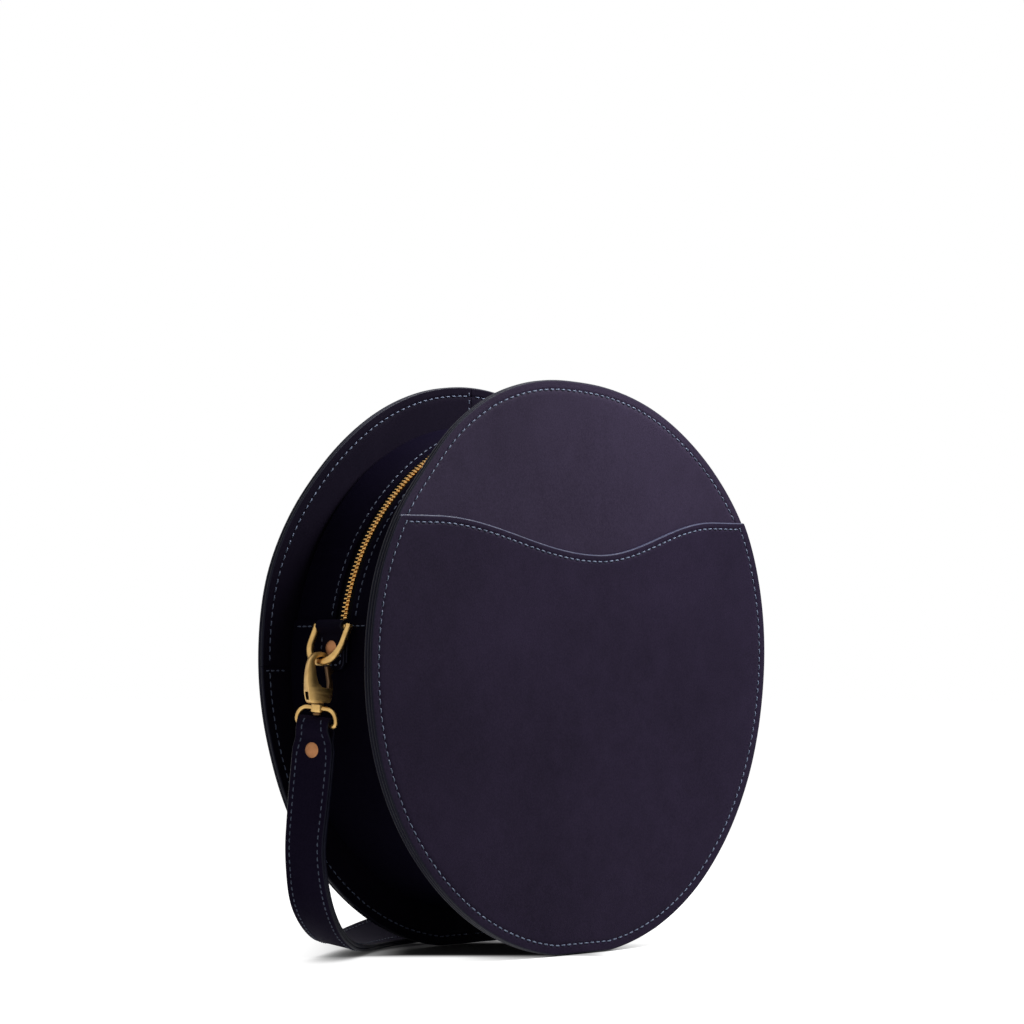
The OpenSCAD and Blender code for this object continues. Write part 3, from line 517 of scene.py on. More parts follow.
def drum_profile(r, y0, y1, open_front, open_back, sag):
    """A band's section in radius and depth: rolled edges with turned seams, or cut edges beside the zip."""
    def outline(radius, start, end, corner, tip):
        path = []
        if open_front:
            path += [(radius, start)]
        else:
            path += [(tip, start)]
            path += [(radius - corner + corner * math.sin(t), start + corner - corner * math.cos(t))
                     for t in np.linspace(0, math.pi / 2, 9)]
        steps = np.linspace(0, 1, 26)[1:-1]
        left, right = path[-1][1], (end if open_back else end - corner)
        path += [(radius - sag * math.sin(math.pi * s) ** 0.8, left + (right - left) * s) for s in steps]
        if open_back:
            path += [(radius, end)]
        else:
            path += [(radius - corner + corner * math.cos(t), end - corner + corner * math.sin(t))
                     for t in np.linspace(0, math.pi / 2, 9)] + [(tip, end)]
        return path
    skin = outline(r, y0, y1, roll_r, r - seam_w)
    lining = outline(r - leather_t, y0 + (0 if open_front else leather_t),
                     y1 - (0 if open_back else leather_t), roll_r - leather_t, r - seam_w)
    if open_front:
        skin = [(r - leather_t + edge_round, y0 + corner_deep), (r - fold_in, y0 + fold_deep)] + skin[1:]
    if open_back:
        skin = skin[:-1] + [(r - fold_in, y1 - fold_deep), (r - leather_t + edge_round, y1 - corner_deep)]
    return np.array(skin + lining[::-1])


def zip_wander(degrees):
    """How far the sewn zip strays to the back at each angle, in millimetres."""
    return np.interp(degrees, [40, 65, 90, 105, 120, 135, 150, 160, 169],
                     [0, -0.8, -2.0, -2.8, -3.0, -1.8, -0.4, 0, 0])


def band(name, start, end, profile, creases=(), zip_edge=None):
    """A band bent round the drum, with a soft unevenness and any creases pressed into it."""
    angles = np.radians(np.linspace(start, end, int(end - start)))
    rings = np.zeros((len(angles), len(profile), 3))
    for i, angle in enumerate(angles):
        r = profile[:, 0].copy()
        for k, y in enumerate(profile[:, 1]):
            r[k] += uneven * noise.noise(Vector((math.cos(angle) * uneven_turn, y / uneven_wide,
                                                 math.sin(angle) * uneven_turn)))
            for crease_a, crease_y, reach_a, reach_y, depth in creases:
                r[k] -= depth * math.exp(-((math.degrees(angle) - crease_a) / reach_a) ** 2
                                         - ((y - crease_y) / reach_y) ** 2)
        y = profile[:, 1].copy()
        if zip_edge is not None:
            y += zip_wander(math.degrees(angle)) * np.clip(1.2 - np.abs(y - zip_edge) / 18, 0, 1)
        rings[i] = np.stack([r * math.cos(angle), y, middle_z + r * math.sin(angle)], axis=1)
    places, faces = swept(rings, False)
    return piece(name, places, faces, [drum_leather, edge_paint], crease=50, slot="drum_leather")


gusset = band("gusset_leather", 180 - gusset_end, 360 + gusset_end,
              drum_profile(gusset_r, drum_y0, drum_y1, False, False, 0.7))
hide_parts("gusset")


def across_drum(angle, r, y0, y1, count=30):
    """A line across the drum's width at one angle, in degrees."""
    a = math.radians(angle)
    return np.stack([np.full(count, r * math.cos(a)), np.linspace(y0, y1, count),
                     np.full(count, middle_z + r * math.sin(a))], axis=1), (math.cos(a), 0, math.sin(a))


gusset_rows = []
for end_angle in (gusset_end - 1.5, 180 - gusset_end + 1.5):
    line, out = across_drum(end_angle, gusset_r - sunk, drum_y0 + 3.2, drum_y1 - 3.2)
    gusset_rows.append(stitch_row(line, out, pitch=3.1, length=2.2))
stitches("gusset_stitches", gusset_rows)

# Zip strips
# Two narrower bands that close the top of the drum, one on each side of the
# zip. Their inner edges are folded under and sewn to the tapes.
zip_y = (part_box("zip_strip_front")[1].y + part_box("zip_strip_back")[0].y) / 2 / mm
strip_r, zip_half = gusset_r - leather_t, 4.5
strip_from, strip_to = gusset_end - 3, 180 - gusset_end + 3
strip_front = band("zip_strip_front_leather", strip_from, strip_to,
                   drum_profile(strip_r, drum_y0, zip_y - zip_half, False, True, 0.25),
                   zip_edge=zip_y - zip_half)
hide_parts("zip_strip_front")
strip_back = band("zip_strip_back_leather", strip_from, strip_to,
                  drum_profile(strip_r, zip_y + zip_half, drum_y1, True, False, 0.25),
                  creases=[(152, zip_y + 18, 0.7, 8, 0.8), (155.5, zip_y + 20, 0.9, 7, 0.5)],
                  zip_edge=zip_y + zip_half)
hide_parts("zip_strip_back")


def round_drum(r, y, start, end):
    """A line round the drum at one depth, with the way outwards."""
    a = np.radians(np.linspace(start, end, 300))
    out = np.stack([np.cos(a), np.zeros(300), np.sin(a)], axis=1)
    moved = np.stack([np.zeros(300), y + zip_wander(np.degrees(a)), np.full(300, middle_z)], axis=1)
    return out * r + moved, out


strip_rows = []
for row_y in (zip_y - zip_half - 3.1, zip_y + zip_half + 2.1):
    line, out = round_drum(strip_r - 0.15, row_y, gusset_end + 0.6, 180 - gusset_end - 0.6)
    strip_rows.append(stitch_row(line, out, pitch=3.2, length=2.3))
stitches("zip_strip_stitches", strip_rows)

# Zip tapes
# Two woven cotton tapes under the strips, in black, with a corded inner edge
# that the teeth are clamped to.
tape_in_r, tape_t = 101.4, 0.6
tape_cloth, cloth_tree, cloth_shader, cloth_place = material("zip_tape_cloth")
cloth_map = add(cloth_tree, "Mapping", {"Vector": cloth_place, "Scale": (1, 1.6, 1)}).outputs["Vector"]
weft, warp = (add(cloth_tree, "TexWave", {"Vector": cloth_map, "Scale": scale, "Distortion": 0.6},
                  wave_type="BANDS", bands_direction=way).outputs["Fac"]
              for scale, way in ((420.0, "Y"), (300.0, "DIAGONAL")))
weave = times(cloth_tree, weft, warp)
cloth_colour = between(cloth_tree, weave, paint(5, 5, 9), paint(15, 15, 22))
dress(cloth_tree, cloth_shader, cloth_colour, weave, 0.6, 0.0003)
cloth_shader.inputs["Roughness"].default_value = 0.85
cloth_shader.inputs["Specular IOR Level"].default_value = 0.05


def part_aside(made):
    """Give one side of the zip a mesh of its own."""
    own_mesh(made)


def tape(name, node, sign):
    """One tape: flat, with a corded edge beside the teeth."""
    outer_r, cord_r, cord_in_r = tape_in_r + tape_t, tape_in_r + 0.95, tape_in_r - 0.25
    section = [(tape_in_r, 12.0), (outer_r, 12.0), (outer_r, 8.0), (outer_r, 3.4), (cord_r, 2.6),
               (cord_r, 1.7), (tape_in_r + 0.7, 1.15), (tape_in_r, 1.15), (cord_in_r, 1.7),
               (cord_in_r, 2.6), (tape_in_r, 3.4), (tape_in_r, 8.0)]
    rings = []
    for angle in np.radians(np.linspace(strip_from, strip_to, 200)):
        middle_y = zip_y + zip_wander(math.degrees(angle))
        rings.append([(r * math.cos(angle), middle_y + sign * y, middle_z + r * math.sin(angle))
                      for r, y in section])
    places, faces = swept(np.array(rings), False)
    made = piece(name, places, faces, [tape_cloth], crease=50, slot="zip_cloth")
    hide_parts(node)
    part_aside(made)


tape("zip_tape_front_cloth", "zip_tape_front", -1)
tape("zip_tape_back_cloth", "zip_tape_back", 1)

# Teeth and stops
# Brass teeth, a little under 2 mm from one to the next, clamped to the tapes'
# cords. Each has a rounded head that locks between two of the other row.
marks, marks_in, marks_out = effect(
    "handling_marks",
    [("Place", "Vector", None), ("Tarnish", "Float", 0.5)],
    [("Tone", "Float"), ("Roughness", "Float"), ("Height", "Float")])
haze = clouds(marks, marks_in.outputs["Place"], 240.0, 4.0, 0.6)
hairlines = clouds(marks, marks_in.outputs["Place"], 1500.0, 5.0, 0.75)
marks.links.new(times(marks, haze, marks_in.outputs["Tarnish"]), marks_out.inputs["Tone"])
marks.links.new(spread(marks, haze, 0.3, 0.75, -0.05, 0.12), marks_out.inputs["Roughness"])
marks.links.new(hairlines, marks_out.inputs["Height"])


def metal(name, bright, dark, rough, tarnish_share=0.6, bump=0.06):
    """Plated or solid metal with the haze and hairlines of handling."""
    made, tree, shader, place = material(name)
    worn = add(tree, "Group", {"Place": place, "Tarnish": tarnish_share}, node_tree=marks)
    colour = between(tree, worn.outputs["Tone"], bright, dark)
    dress(tree, shader, colour, worn.outputs["Height"], bump, 0.0001)
    roughen(tree, shader, worn.outputs["Roughness"], rough)
    shader.inputs["Metallic"].default_value = 1.0
    return made


tooth_brass = metal("tooth_brass", paint(232, 186, 112), paint(162, 116, 56), 0.24)
tooth_pitch, chain_r, tooth_count = 1.74, 101.7, 159
gusset_lap, stop_l, stop_gap = 6.0, 2.2, 0.6
tooth_first = 180 - gusset_end + math.degrees(gusset_lap / gusset_r - (2 * stop_gap + stop_l) / chain_r)
tooth_step = math.degrees(tooth_pitch / chain_r)
# Each tooth's body and its lower head: places across and along the chain, then
# the heights of its layers and how full each is
tooth_body = [(-1.85, -0.28), (-1.7, -0.38), (-0.2, -0.38), (0.04, -0.32), (0.16, -0.18),
              (0.16, 0.18), (0.04, 0.32), (-0.2, 0.38), (-1.7, 0.38), (-1.85, 0.28)]
tooth_head = [(-1.0, -0.26), (0.6, -0.31), (0.84, -0.22), (0.9, -0.08),
              (0.9, 0.08), (0.84, 0.22), (0.6, 0.31), (-1.0, 0.26)]
body_layers = [(-1.3, 0.78), (-1.12, 0.97), (0.85, 1.0), (1.15, 0.9), (1.3, 0.62)]
head_layers = [(-0.64, 0.86), (-0.5, 1.0), (0.5, 1.0), (0.64, 0.84)]
tooth_middle, tooth_narrows = -0.8, 0.3


def tooth_row(name, node, sign, shift):
    """All the teeth of one tape."""
    places, faces = [], []
    for i in range(tooth_count):
        a = math.radians(tooth_first - (i + shift) * tooth_step)
        out, left = np.array([math.cos(a), 0, math.sin(a)]), np.array([-math.sin(a), 0, math.cos(a)])
        chain_y = zip_y + zip_wander(math.degrees(a))
        for shape, layers in ((tooth_body, body_layers), (tooth_head, head_layers)):
            start, sides = len(places), len(shape)
            for height, full in layers:
                for x, y in shape:
                    across = tooth_middle + (x - tooth_middle) * (1 - (1 - full) * tooth_narrows)
                    places.append(out * (chain_r + height) + left * y * full
                                  + np.array([0, chain_y - sign * across, middle_z]))
            for layer in range(len(layers) - 1):
                low, high = start + layer * sides, start + (layer + 1) * sides
                faces += [[low + k, low + (k + 1) % sides, high + (k + 1) % sides, high + k]
                          for k in range(sides)]
            faces.append([start + k for k in range(sides)][::-1])
            faces.append([start + (len(layers) - 1) * sides + k for k in range(sides)])
    made = piece(name, np.array(places), faces, [tooth_brass], crease=35, slot="zip_brass")
    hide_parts(node)
    part_aside(made)


tooth_row("zip_teeth_front_brass", "zip_teeth_front", -1, 0.0)
tooth_row("zip_teeth_back_brass", "zip_teeth_back", 1, 0.5)


# A slot's greatest and least width in metres, and how squarely its faces look at each other
slot_wide, slot_least, slot_facing = 0.0034, 0.0004, -0.95


def eased(node, finish, width=0.18, crease=35, name=None, slot_finish=None):
    """A fitting in the shape of its solid, with its sharp edges eased as a tumbled casting's are. Where
    two of its faces look straight at each other across a narrow slot, they can have a darker finish of their
    own: painted shade."""
    source = frame["nodes"][node]
    mesh = source.data.copy()
    mesh.name = name or node + "_metal"
    soft = bmesh.new()
    soft.from_mesh(mesh)
    bmesh.ops.remove_doubles(soft, verts=soft.verts, dist=1e-6)
    bmesh.ops.dissolve_limit(soft, angle_limit=math.radians(0.6), verts=soft.verts, edges=soft.edges)
    sharp = [e for e in soft.edges if len(e.link_faces) == 2 and e.calc_face_angle(0) > math.radians(crease)]
    bmesh.ops.bevel(soft, geom=sharp, offset=width * mm, offset_type="OFFSET", segments=2, profile=0.6,
                    affect="EDGES", clamp_overlap=True)
    mesh.materials.clear()
    mesh.materials.append(finish)
    if slot_finish:
        mesh.materials.append(slot_finish)
        solid = BVHTree.FromBMesh(soft)
        for face in soft.faces:
            face.normal_update()
            start = face.calc_center_median() + face.normal * 1e-5
            place, normal, _, distance = solid.ray_cast(start, face.normal, slot_wide)
            in_slot = place is not None and distance > slot_least and normal.dot(face.normal) < slot_facing
            face.material_index = int(in_slot)
    soft.to_mesh(mesh)
    soft.free()
    mesh.shade_smooth()
    mesh.set_sharp_from_angle(angle=math.radians(crease))
    made = bpy.data.objects.new(mesh.name, mesh)
    bpy.context.scene.collection.objects.link(made)
    body = [b for b, nodes in frame["record"]["behaviour"]["bodies"].items() if node in nodes][0]
    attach(made, body)
    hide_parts(node)
    return made


eased("zip_stops", tooth_brass)

# Slider and pull
# A cast brass slider runs on the chain, and its pull is pinned to a lug so
# that it flips over from one side to the other.
fitting_brass = metal("fitting_brass", paint(228, 190, 122), paint(150, 110, 58), 0.33, tarnish_share=0.8,
                      bump=0.02)
eased("zip_slider", fitting_brass)
eased("zip_pull", fitting_brass)

# Ring tabs
# A strip of leather folded round the ring's bar, both layers lying down the
# gusset, stitched round the edge and held by one copper rivet.
strap_leather = leather("strap_leather", paint(31, 25, 46), paint(43, 36, 60), 0.65, 0.02)
tab_leather = leather("tab_leather", paint(12, 9, 22), paint(20, 16, 32), 0.65, 0.02)
copper = metal("copper_rivet", paint(178, 126, 86), paint(118, 76, 48), 0.5, bump=0.6)
bar_x, bar_z, bar_seat, bar_r = -106.972, 135.168, 3.16, 1.56
tab_w, tab_t, tab_corner, tab_low_a, tab_row_in = 15.2, 1.55, 3.6, -0.6, 1.9


def layer_rings(line, across, face, width, thickness):
    """Rings of a leather layer along a line: its width lies across, its thickness towards its face."""
    corner, deep = 0.32, 0.5 * thickness
    # Places round the section: the side, the height and how far in from the side
    upper = [(-1, deep - corner, 0), (-1, deep, corner), (-0.5, deep, 0), (0, deep, 0), (0.5, deep, 0),
             (1, deep, corner), (1, deep - corner, 0)]
    section = np.array(upper + [(-side, -height, inset) for side, height, inset in upper])
    side, height, inset = (section[None, :, k, None] for k in range(3))
    half = np.asarray(width, float)[:, None, None] / 2
    return (np.asarray(line)[:, None] + (side * half - np.sign(side) * inset) * np.asarray(across)[:, None]
            + height * np.asarray(face)[:, None])


def layer_faces(rings):
    """The layer's faces, and which of them are its painted edges."""
    places, faces = swept(rings, False)
    count, sides = rings.shape[:2]
    side = np.arange((count - 1) * sides) % sides
    painted = np.isin(side, (0, 5, 6, 7, 12, 13)).astype(int).tolist() + [1, 1]
    return places, faces, painted


def on_gusset(degrees, r):
    """A place on the gusset's left side, at an angle above the middle, and the way outwards there."""
    t = math.radians(180 - degrees)
    return (r * math.cos(t), middle_z + r * math.sin(t)), (math.cos(t), math.sin(t))


def ring_tab(side, sign):
    """The tab's fold, from the end under the ring, round the bar and down to its stitched round end. The
    sign is 1 on the left and -1 on the right."""
    inner_r, outer_r = gusset_r + 0.85, gusset_r + bar_seat - tab_t / 2
    fold_r = bar_r + tab_t / 2
    lean = math.degrees(math.atan2(bar_z - middle_z, -bar_x))
    line = np.array([on_gusset(a, inner_r)[0] for a in np.linspace(tab_low_a + 1.5, 6.3, 10)]
                    + [(bar_x + fold_r * math.cos(t), bar_z + fold_r * math.sin(t))
                       for t in np.radians(np.linspace(-lean, 180 - lean, 13))]
                    + [on_gusset(a, outer_r)[0] for a in np.linspace(7.4, tab_low_a, 26)[1:]])
    run = np.concatenate([[0], np.cumsum(np.linalg.norm(np.diff(line, axis=0), axis=1))])
    tail = run[-1] - tab_corner * (1 - np.sin(np.linspace(0, 1, 12) * math.pi / 2))
    smooth = np.concatenate([np.arange(0, tail[0] - 0.3, 0.55), tail])
    path = np.stack([np.interp(smooth, run, line[:, i]) for i in range(2)], axis=1)
    turned = np.gradient(path, axis=0)
    turned /= np.linalg.norm(turned, axis=1)[:, None]
    normal = np.stack([-turned[:, 1], turned[:, 0]], axis=1)
    left_over = np.clip(run[-1] - smooth, 0, tab_corner)
    narrowed = tab_corner - np.sqrt(np.maximum(tab_corner ** 2 - (tab_corner - left_over) ** 2, 0.01))
    count = len(smooth)
    places = np.stack([path[:, 0] * sign, np.full(count, zip_y), path[:, 1]], axis=1)
    normals = np.stack([normal[:, 0] * sign, np.zeros(count), normal[:, 1]], axis=1)
    rings = layer_rings(places, np.tile([0, 1, 0], (count, 1)), normals, tab_w - 2 * narrowed, tab_t - 0.1)
    flat, faces, painted = layer_faces(rings)
    made = piece(f"ring_tab_{side}_leather", flat, faces, [tab_leather, edge_paint], painted,
                 slot="strap_leather")
    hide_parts(f"ring_tab_{side}")
    seam_r, seam_half = outer_r + tab_t / 2 - sunk, tab_w / 2 - tab_row_in
    seam = [(a, -seam_half) for a in np.linspace(6.6, tab_low_a + 1.9, 14)]
    low_a = tab_low_a + math.degrees(tab_row_in / seam_r)
    bend = tab_corner - tab_row_in
    seam += [(low_a + math.degrees(bend * (1 - math.sin(t)) / seam_r), -seam_half + bend * (1 - math.cos(t)))
             for t in np.linspace(0, math.pi / 2, 6)[1:]]
    seam += [(a, -y) for a, y in seam[::-1]]
    on_seam = [(y, *on_gusset(a, seam_r)) for a, y in seam]
    seam_line = np.array([[x * sign, zip_y + y, z] for y, (x, z), _ in on_seam])
    seam_out = np.array([[x * sign, 0, z] for _, _, (x, z) in on_seam])
    stitches(f"ring_tab_{side}_stitches", [stitch_row(seam_line, seam_out, pitch=2.9, length=2.0)])
    eased(f"tab_rivet_{side}", copper, width=0.1)


ring_tab("left", 1)
ring_tab("right", -1)

# D-rings
# Bent from 3 mm brass wire and plated with an aged finish. The tab holds the
# straight side, and the strap's hook hangs in the bow.
for side in ("left", "right"):
    eased(f"d_ring_{side}", fitting_brass, name=f"d_ring_{side}_brass")

# Snap hooks
# A cast hook with a gate on a pin, pushed shut by a spring in the block. Its
# swivel pin runs down through the eye's collar and is peened below it.
spring_steel = metal("spring_steel", paint(168, 170, 174), paint(96, 98, 102), 0.3)
# The gate and the pins are a dark brown copy of the brass: painted shade
shaded_gate_brass = metal("shaded_gate_brass", paint(112, 84, 56), paint(66, 48, 34), 0.38)
# Faces across the hook's narrow slot get a near-black finish: painted shade in the slot
slot_painted_shade = metal("slot_painted_shade", paint(34, 28, 22), paint(18, 15, 12), 0.7)
for side in ("left", "right"):
    eased(f"snap_hook_{side}", fitting_brass, width=0.3, name=f"snap_hook_{side}_brass",
          slot_finish=slot_painted_shade)
    eased(f"hook_gate_{side}", shaded_gate_brass, width=0.2, name=f"hook_gate_{side}_shaded_brass")
    eased(f"gate_pin_{side}", shaded_gate_brass, width=0.08, name=f"gate_pin_{side}_shaded_brass")
    eased(f"swivel_pin_{side}", shaded_gate_brass, width=0.15, name=f"swivel_pin_{side}_shaded_brass")
    eased(f"gate_spring_{side}", spring_steel, width=0.01, crease=80, name=f"gate_spring_{side}_steel")
    eased(f"swivel_eye_{side}", fitting_brass, width=0.15, name=f"swivel_eye_{side}_brass")
    eased(f"strap_rivet_{side}", copper, width=0.1, name=f"strap_rivet_{side}_copper")

# Strap
# Two layers of 19 mm leather sewn along both edges. At each end one layer is
# folded round the eye's bar and back, narrowed there, and riveted. From the
# left hook it hangs, turns over as it lands, and is wound up behind the bag.
strap_w, strap_eye_w, layer_t = 19.0, 14.5, 1.42
strap_turn, eye_tilt = math.radians(75), math.radians(6)
route_y, far_below, taper_drop, fold_count = -37.75, 99.0, 10.2, 23
eye_middle, eye_bar_drop, strap_end_drop = (-114.998, 2.0, 102.767), 6.6, 30.0
# The left half's route from its hook to the coil, and the right half's from the coil to its hook: places,
# with their depths counted from route_y, and the way that the strap's width lies
left_route = [
    ((-117, 5.4, 60), (-0.22, 0.97, 0.04)), ((-117.5, 6.2, 47), (-0.17, 0.98, 0)),
    ((-115, 7.8, 34.5), (-0.2, 0.97, 0.02)), ((-108.5, 12, 23), (-0.3, 0.93, 0.1)),
    ((-98, 18, 13.5), (-0.38, 0.88, 0.2)), ((-85, 25, 7), (-0.42, 0.87, 0.2)),
    ((-70, 34, 4.3), (-0.48, 0.86, 0.2)), ((-54, 43.5, 4.2), (-0.4, 0.88, 0.28)),
    ((-36, 50, 5.5), (-0.22, 0.87, 0.42)), ((-18, 52, 7), (-0.04, 0.8, 0.6)),
    ((2, 50.5, 9), (0, 0.5, 0.85)), ((22, 46.5, 9.7), (0, 0.2, 1)), ((41, 42, 9.6), (0, 0, 1))]
right_route = [
    ((74, 106.5, 9.5), (0, 0, 1)), ((90, 99, 9.5), (0, 0, 1)), ((101, 86, 9.5), (0, 0, 1)),
    ((107, 70, 9.6), (0.05, 0, 1)), ((110, 54, 9.9), (0.25, 0, 1)), ((111.5, 40, 10), (0.6, 0, 0.85)),
    ((112.5, 27, 12), (0.85, 0.1, 0.5)), ((113.5, 15.5, 19), (1, 0.2, 0.25)),
    ((114, 8, 32), (0.93, 0.45, 0.1)), ((114.5, 4.5, 46), (0.72, 0.75, 0)),
    ((116, 4.9, 60), (0.4, 0.92, 0.05))]
coil_x, coil_y, coil_in_r, coil_pitch, coil_turns = 60.0, 73.75, 14.0, 9.0, 2.25


def coil_half(sign):
    """Half of the coil's line, from its outer end to the middle between the two arms."""
    arm = []
    for degrees in np.arange(360 * coil_turns, -1, -9):
        r, a = coil_in_r + coil_pitch * degrees / 360, math.radians(degrees)
        arm.append((r * math.cos(a), -r * math.sin(a)))
    core = [(coil_in_r / 2 * (1 + math.cos(a)), coil_in_r / 2 * math.sin(a))
            for a in np.radians(np.arange(15, 180, 15))]
    turn = math.radians(360 * coil_turns - 90)
    upright = (0, 0, 1)
    return [((coil_x + sign * (x * math.cos(turn) - y * math.sin(turn)),
              coil_y + sign * (x * math.sin(turn) + y * math.cos(turn)), strap_w / 2), upright)
            for x, y in arm + core] + [((coil_x, coil_y, strap_w / 2), upright)]


def smooth_route(route, steps):
    """Places between the places of a route, on one smooth curve."""
    whole = np.array([np.concatenate([p, w]) for p, w in route], float)
    made = []
    for i in range(len(whole) - 1):
        before, here = whole[max(i - 1, 0)], whole[i]
        ahead, after = whole[i + 1], whole[min(i + 2, len(whole) - 1)]
        for t in np.arange(steps) / steps:
            made.append(0.5 * (2 * here + (ahead - before) * t
                               + (2 * before - 5 * here + 4 * ahead - after) * t ** 2
                               + (3 * here - before - 3 * ahead + after) * t ** 3))
    return made + [whole[-1]]


def strap_half(side, sign, route, half_of_coil):
    """One half of the strap, from the middle of the coil to its folded end."""
    # Down and to the rear at the end that hangs straight from the eye
    tilt_x, tilt_y = -math.cos(strap_turn) * sign, math.sin(strap_turn)
    down = np.array([math.sin(eye_tilt) * tilt_x, math.sin(eye_tilt) * tilt_y, -math.cos(eye_tilt)])
    rear = np.array([math.cos(eye_tilt) * tilt_x, math.cos(eye_tilt) * tilt_y, math.sin(eye_tilt)])
    bar = np.array(eye_middle) * (sign, 1, 1) + eye_bar_drop * down
    top = [(bar + drop * down, rear) for drop in (1.1, 4.0, 8.0, 14.0, strap_end_drop - eye_bar_drop)]
    hanging = smooth_route(top + route, 6)[:-1]
    line = np.array(hanging + [np.concatenate([p, w]) for p, w in half_of_coil])[::-1]
    points, ways = line[:, :3] + (0, route_y, 0), line[:, 3:]
    bar = bar + (0, route_y, 0)
    ahead = np.gradient(points, axis=0)
    ahead[-1] = -down
    ahead /= np.linalg.norm(ahead, axis=1)[:, None]
    ways = ways - np.sum(ways * ahead, axis=1)[:, None] * ahead
    ways /= np.linalg.norm(ways, axis=1)[:, None]
    # The face that looks away from the bag where the strap hangs
    face = np.cross(ahead, ways)
    face = face * np.sign(face[-1][0] * bar[0])
    below = np.where(np.abs(points[:, 0] - bar[0]) < 6, (points - bar) @ down, far_below)
    below = np.where(below < 0, far_below, below)
    width = strap_w - (strap_w - strap_eye_w) * np.clip((taper_drop - below) / taper_drop, 0, 1)
    # The layer stands off the bar in a loose fold and closes on itself below
    fold_r, shut = 3.3 - layer_t / 2, layer_t / 2 + 0.03
    rise = np.clip((6.75 - below) / 6, 0, 1)
    gap = shut + (fold_r - shut) * rise * rise * (3 - 2 * rise)
    turn = np.radians(np.linspace(-12, 192, fold_count))[:, None]
    fold_face = face[-1] * np.cos(turn) - down * np.sin(turn)
    fold_w = np.full(fold_count, strap_eye_w + 0.5)
    whole = np.vstack([points + face * gap[:, None], bar + fold_r * fold_face,
                       (points - face * gap[:, None])[::-1]])
    across = np.vstack([ways, np.tile(ways[-1], (fold_count, 1)), ways[::-1]])
    whole_face = np.vstack([face, fold_face, -face[::-1]])
    rings = layer_rings(whole, across, whole_face, np.concatenate([width, fold_w, width[::-1]]), layer_t)
    flat, faces, painted = layer_faces(rings)
    made = piece(f"strap_{side}_half", flat, faces, [strap_leather, edge_paint], painted, body=None,
                 slot="strap_leather")
    # Two rows on each face. They draw together where the strap narrows and end on the fold.
    on_fold = 8
    apart = np.concatenate([np.interp(below, [2.6, 8.1, 12.5], [9.2, 12.3, 14.2]),
                            np.linspace(9.0, 7.6, on_fold)])
    beside = np.concatenate([ways, np.tile(ways[-1], (on_fold, 1))])
    rows = []
    for path, out in ((whole, whole_face), (whole[::-1], whole_face[::-1])):
        path, out = path[:len(apart)], out[:len(apart)]
        for edge in (-0.5, 0.5):
            seam = path + beside * (apart * edge)[:, None] + out * (layer_t / 2 - 0.12)
            rows.append(stitch_row(seam, out, pitch=2.9, length=2.05, width=0.58))
    thread_rows = stitches(f"strap_{side}_stitches", rows, body=None, slot="strap_leather")
    for part in (made, thread_rows):
        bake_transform(part)
    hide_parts(f"strap_end_{side}", "strap")


strap_half("left", 1, left_route, coil_half(1))
strap_half("right", -1, right_route[::-1], coil_half(-1))

# Floor and light
# A plain pale floor that fades to white away from the bag, one soft lamp above
# and to the right, a weak one in front, and little light from all round.
floor_mesh = bpy.data.meshes.new("floor")
floor_mesh.from_pydata([(-6, -6, 0), (6, -6, 0), (6, 6, 0), (-6, 6, 0)], [], [(0, 1, 2, 3)])
floor = bpy.data.objects.new("floor", floor_mesh)
bpy.context.scene.collection.objects.link(floor)
floor_gap, foot_y = 0.0004, 0.0707
floor.location.z = -floor_gap
floor_paint = bpy.data.materials.new("floor_paint")
floor_paint.use_nodes = True
floor_tree = floor_paint.node_tree
floor_tree.nodes.remove(floor_tree.nodes["Principled BSDF"])


def greater(tree, one, other):
    """The greater of two values."""
    return add(tree, "Math", {0: one, 1: other}, operation="MAXIMUM").outputs[0]


def shown(tree):
    """One for what is seen, straight or in metal or glass, and nought for the light that it gives."""
    ray = add(tree, "LightPath").outputs
    straight_or_mirrored = greater(tree, ray["Is Camera Ray"], ray["Is Glossy Ray"])
    return greater(tree, straight_or_mirrored, ray["Is Transmission Ray"])


def on_floor(low, high, value):
    """A soft step on the floor, from 0 to 1."""
    return spread(floor_tree, value, low, high, soft="SMOOTHSTEP")


def floor_vector(operation, one, other, output="Value"):
    """Places on the floor, added or measured along a way."""
    return add(floor_tree, "VectorMath", {0: one, 1: other}, operation=operation).outputs[output]


floor_place = add(floor_tree, "TexCoord").outputs["Object"]
floor_far = add(floor_tree, "VectorMath", {0: floor_place}, operation="LENGTH").outputs["Value"]
floor_crevice = add(floor_tree, "AmbientOcclusion", {"Distance": 0.03}, samples=16).outputs["AO"]
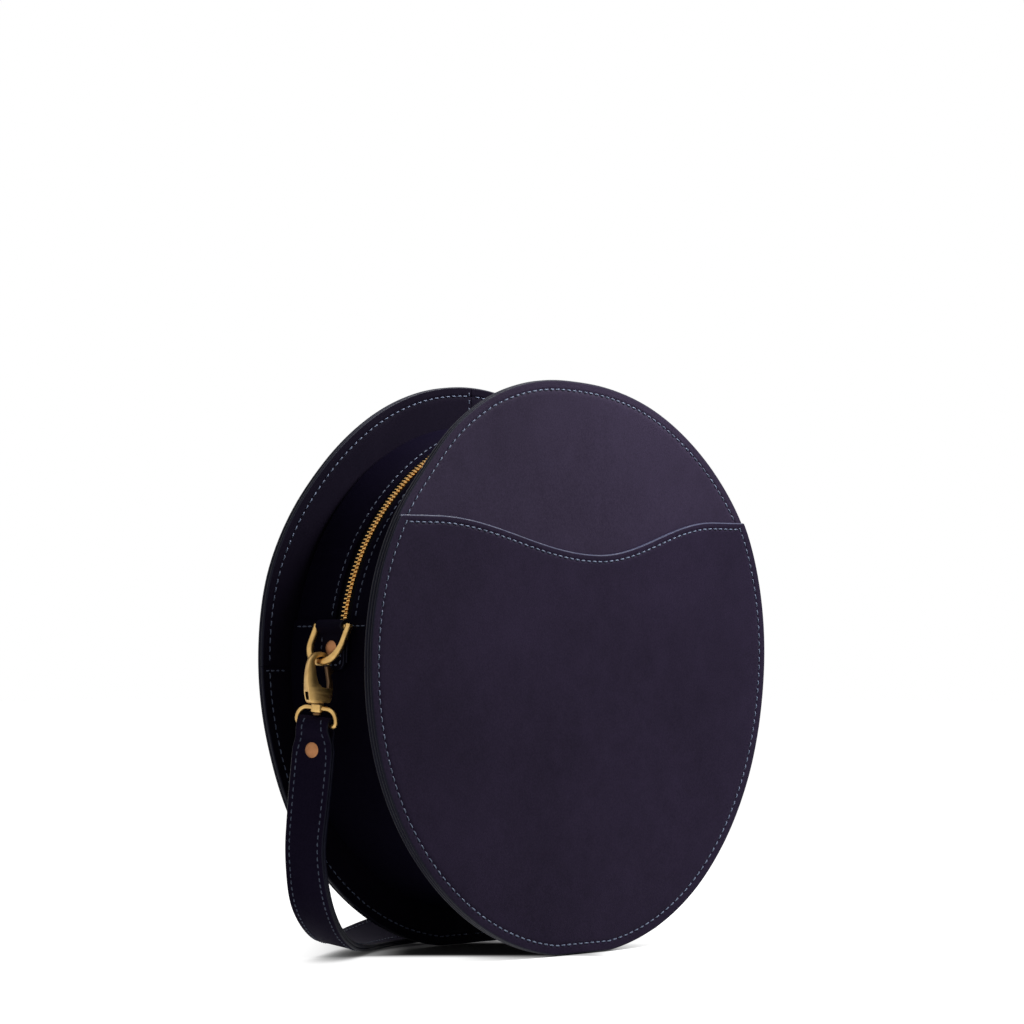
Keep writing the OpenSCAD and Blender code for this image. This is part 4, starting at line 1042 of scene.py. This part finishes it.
# Under the bag the floor's glow is taken away, a painted shadow which runs off to the left from the front
# foot
from_foot = floor_vector("ADD", floor_place, (0, foot_y, 0), "Vector")
behind, along = (floor_vector("DOT_PRODUCT", from_foot, way)
                 for way in ((0.713, 0.701, 0), (0.701, -0.713, 0)))
outside_painted_shadow = greater(
    floor_tree, greater(floor_tree, on_floor(-0.07, -0.12, along), on_floor(0.0, 0.02, along)),
    greater(floor_tree, on_floor(-0.002, -0.018, behind), on_floor(0.045, 0.06, behind)))
# Where the ambient occlusion is low the glow fades too: painted contact shade round the bag's feet and strap
floor_open = times(floor_tree, spread(floor_tree, floor_crevice, 0.0, 0.62), outside_painted_shadow)
floor_glow = add(floor_tree, "Mix", {"Factor": on_floor(0.12, 0.2, floor_far), "A": floor_open, "B": 1.0},
                 data_type="FLOAT").outputs["Result"]
floor_strength = times(floor_tree, shown(floor_tree), floor_glow)
floor_matte = add(floor_tree, "BsdfDiffuse", {"Color": (0.4, 0.4, 0.4, 1)})
floor_lift = add(floor_tree, "Emission", {"Color": (1, 1, 1, 1), "Strength": floor_strength})
floor_both = add(floor_tree, "AddShader", {0: floor_matte.outputs[0], 1: floor_lift.outputs[0]})
floor_tree.links.new(floor_both.outputs[0], floor_tree.nodes["Material Output"].inputs["Surface"])
floor_mesh.materials.append(floor_paint)

world = bpy.data.worlds.new("studio")
bpy.context.scene.world = world
world.use_nodes = True
sky = world.node_tree
sky_strength = add(sky, "Mix", {"Factor": shown(sky), "A": 0.1, "B": 1.0}, data_type="FLOAT")
sky.nodes["Background"].inputs["Color"].default_value = (1, 1, 1, 1)
sky.links.new(sky_strength.outputs["Result"], sky.nodes["Background"].inputs["Strength"])

bag_middle = Vector((0, -0.04, 0.13))
for lamp_name, place, size, watts in (("lamp_above", (0.24, -0.27, 0.56), 0.22, 5.4),
                                      ("lamp_front", (0.9, -1.5, 0.6), 0.8, 1.6)):
    lamp_data = bpy.data.lights.new(lamp_name, "AREA")
    lamp_data.shape, lamp_data.size, lamp_data.energy = "SQUARE", size, watts
    lamp = bpy.data.objects.new(lamp_name, lamp_data)
    lamp.location = place
    lamp.rotation_euler = (bag_middle - Vector(place)).to_track_quat("-Z", "Y").to_euler()
    bpy.context.scene.collection.objects.link(lamp)
bpy.context.scene.view_settings.view_transform = "Standard"
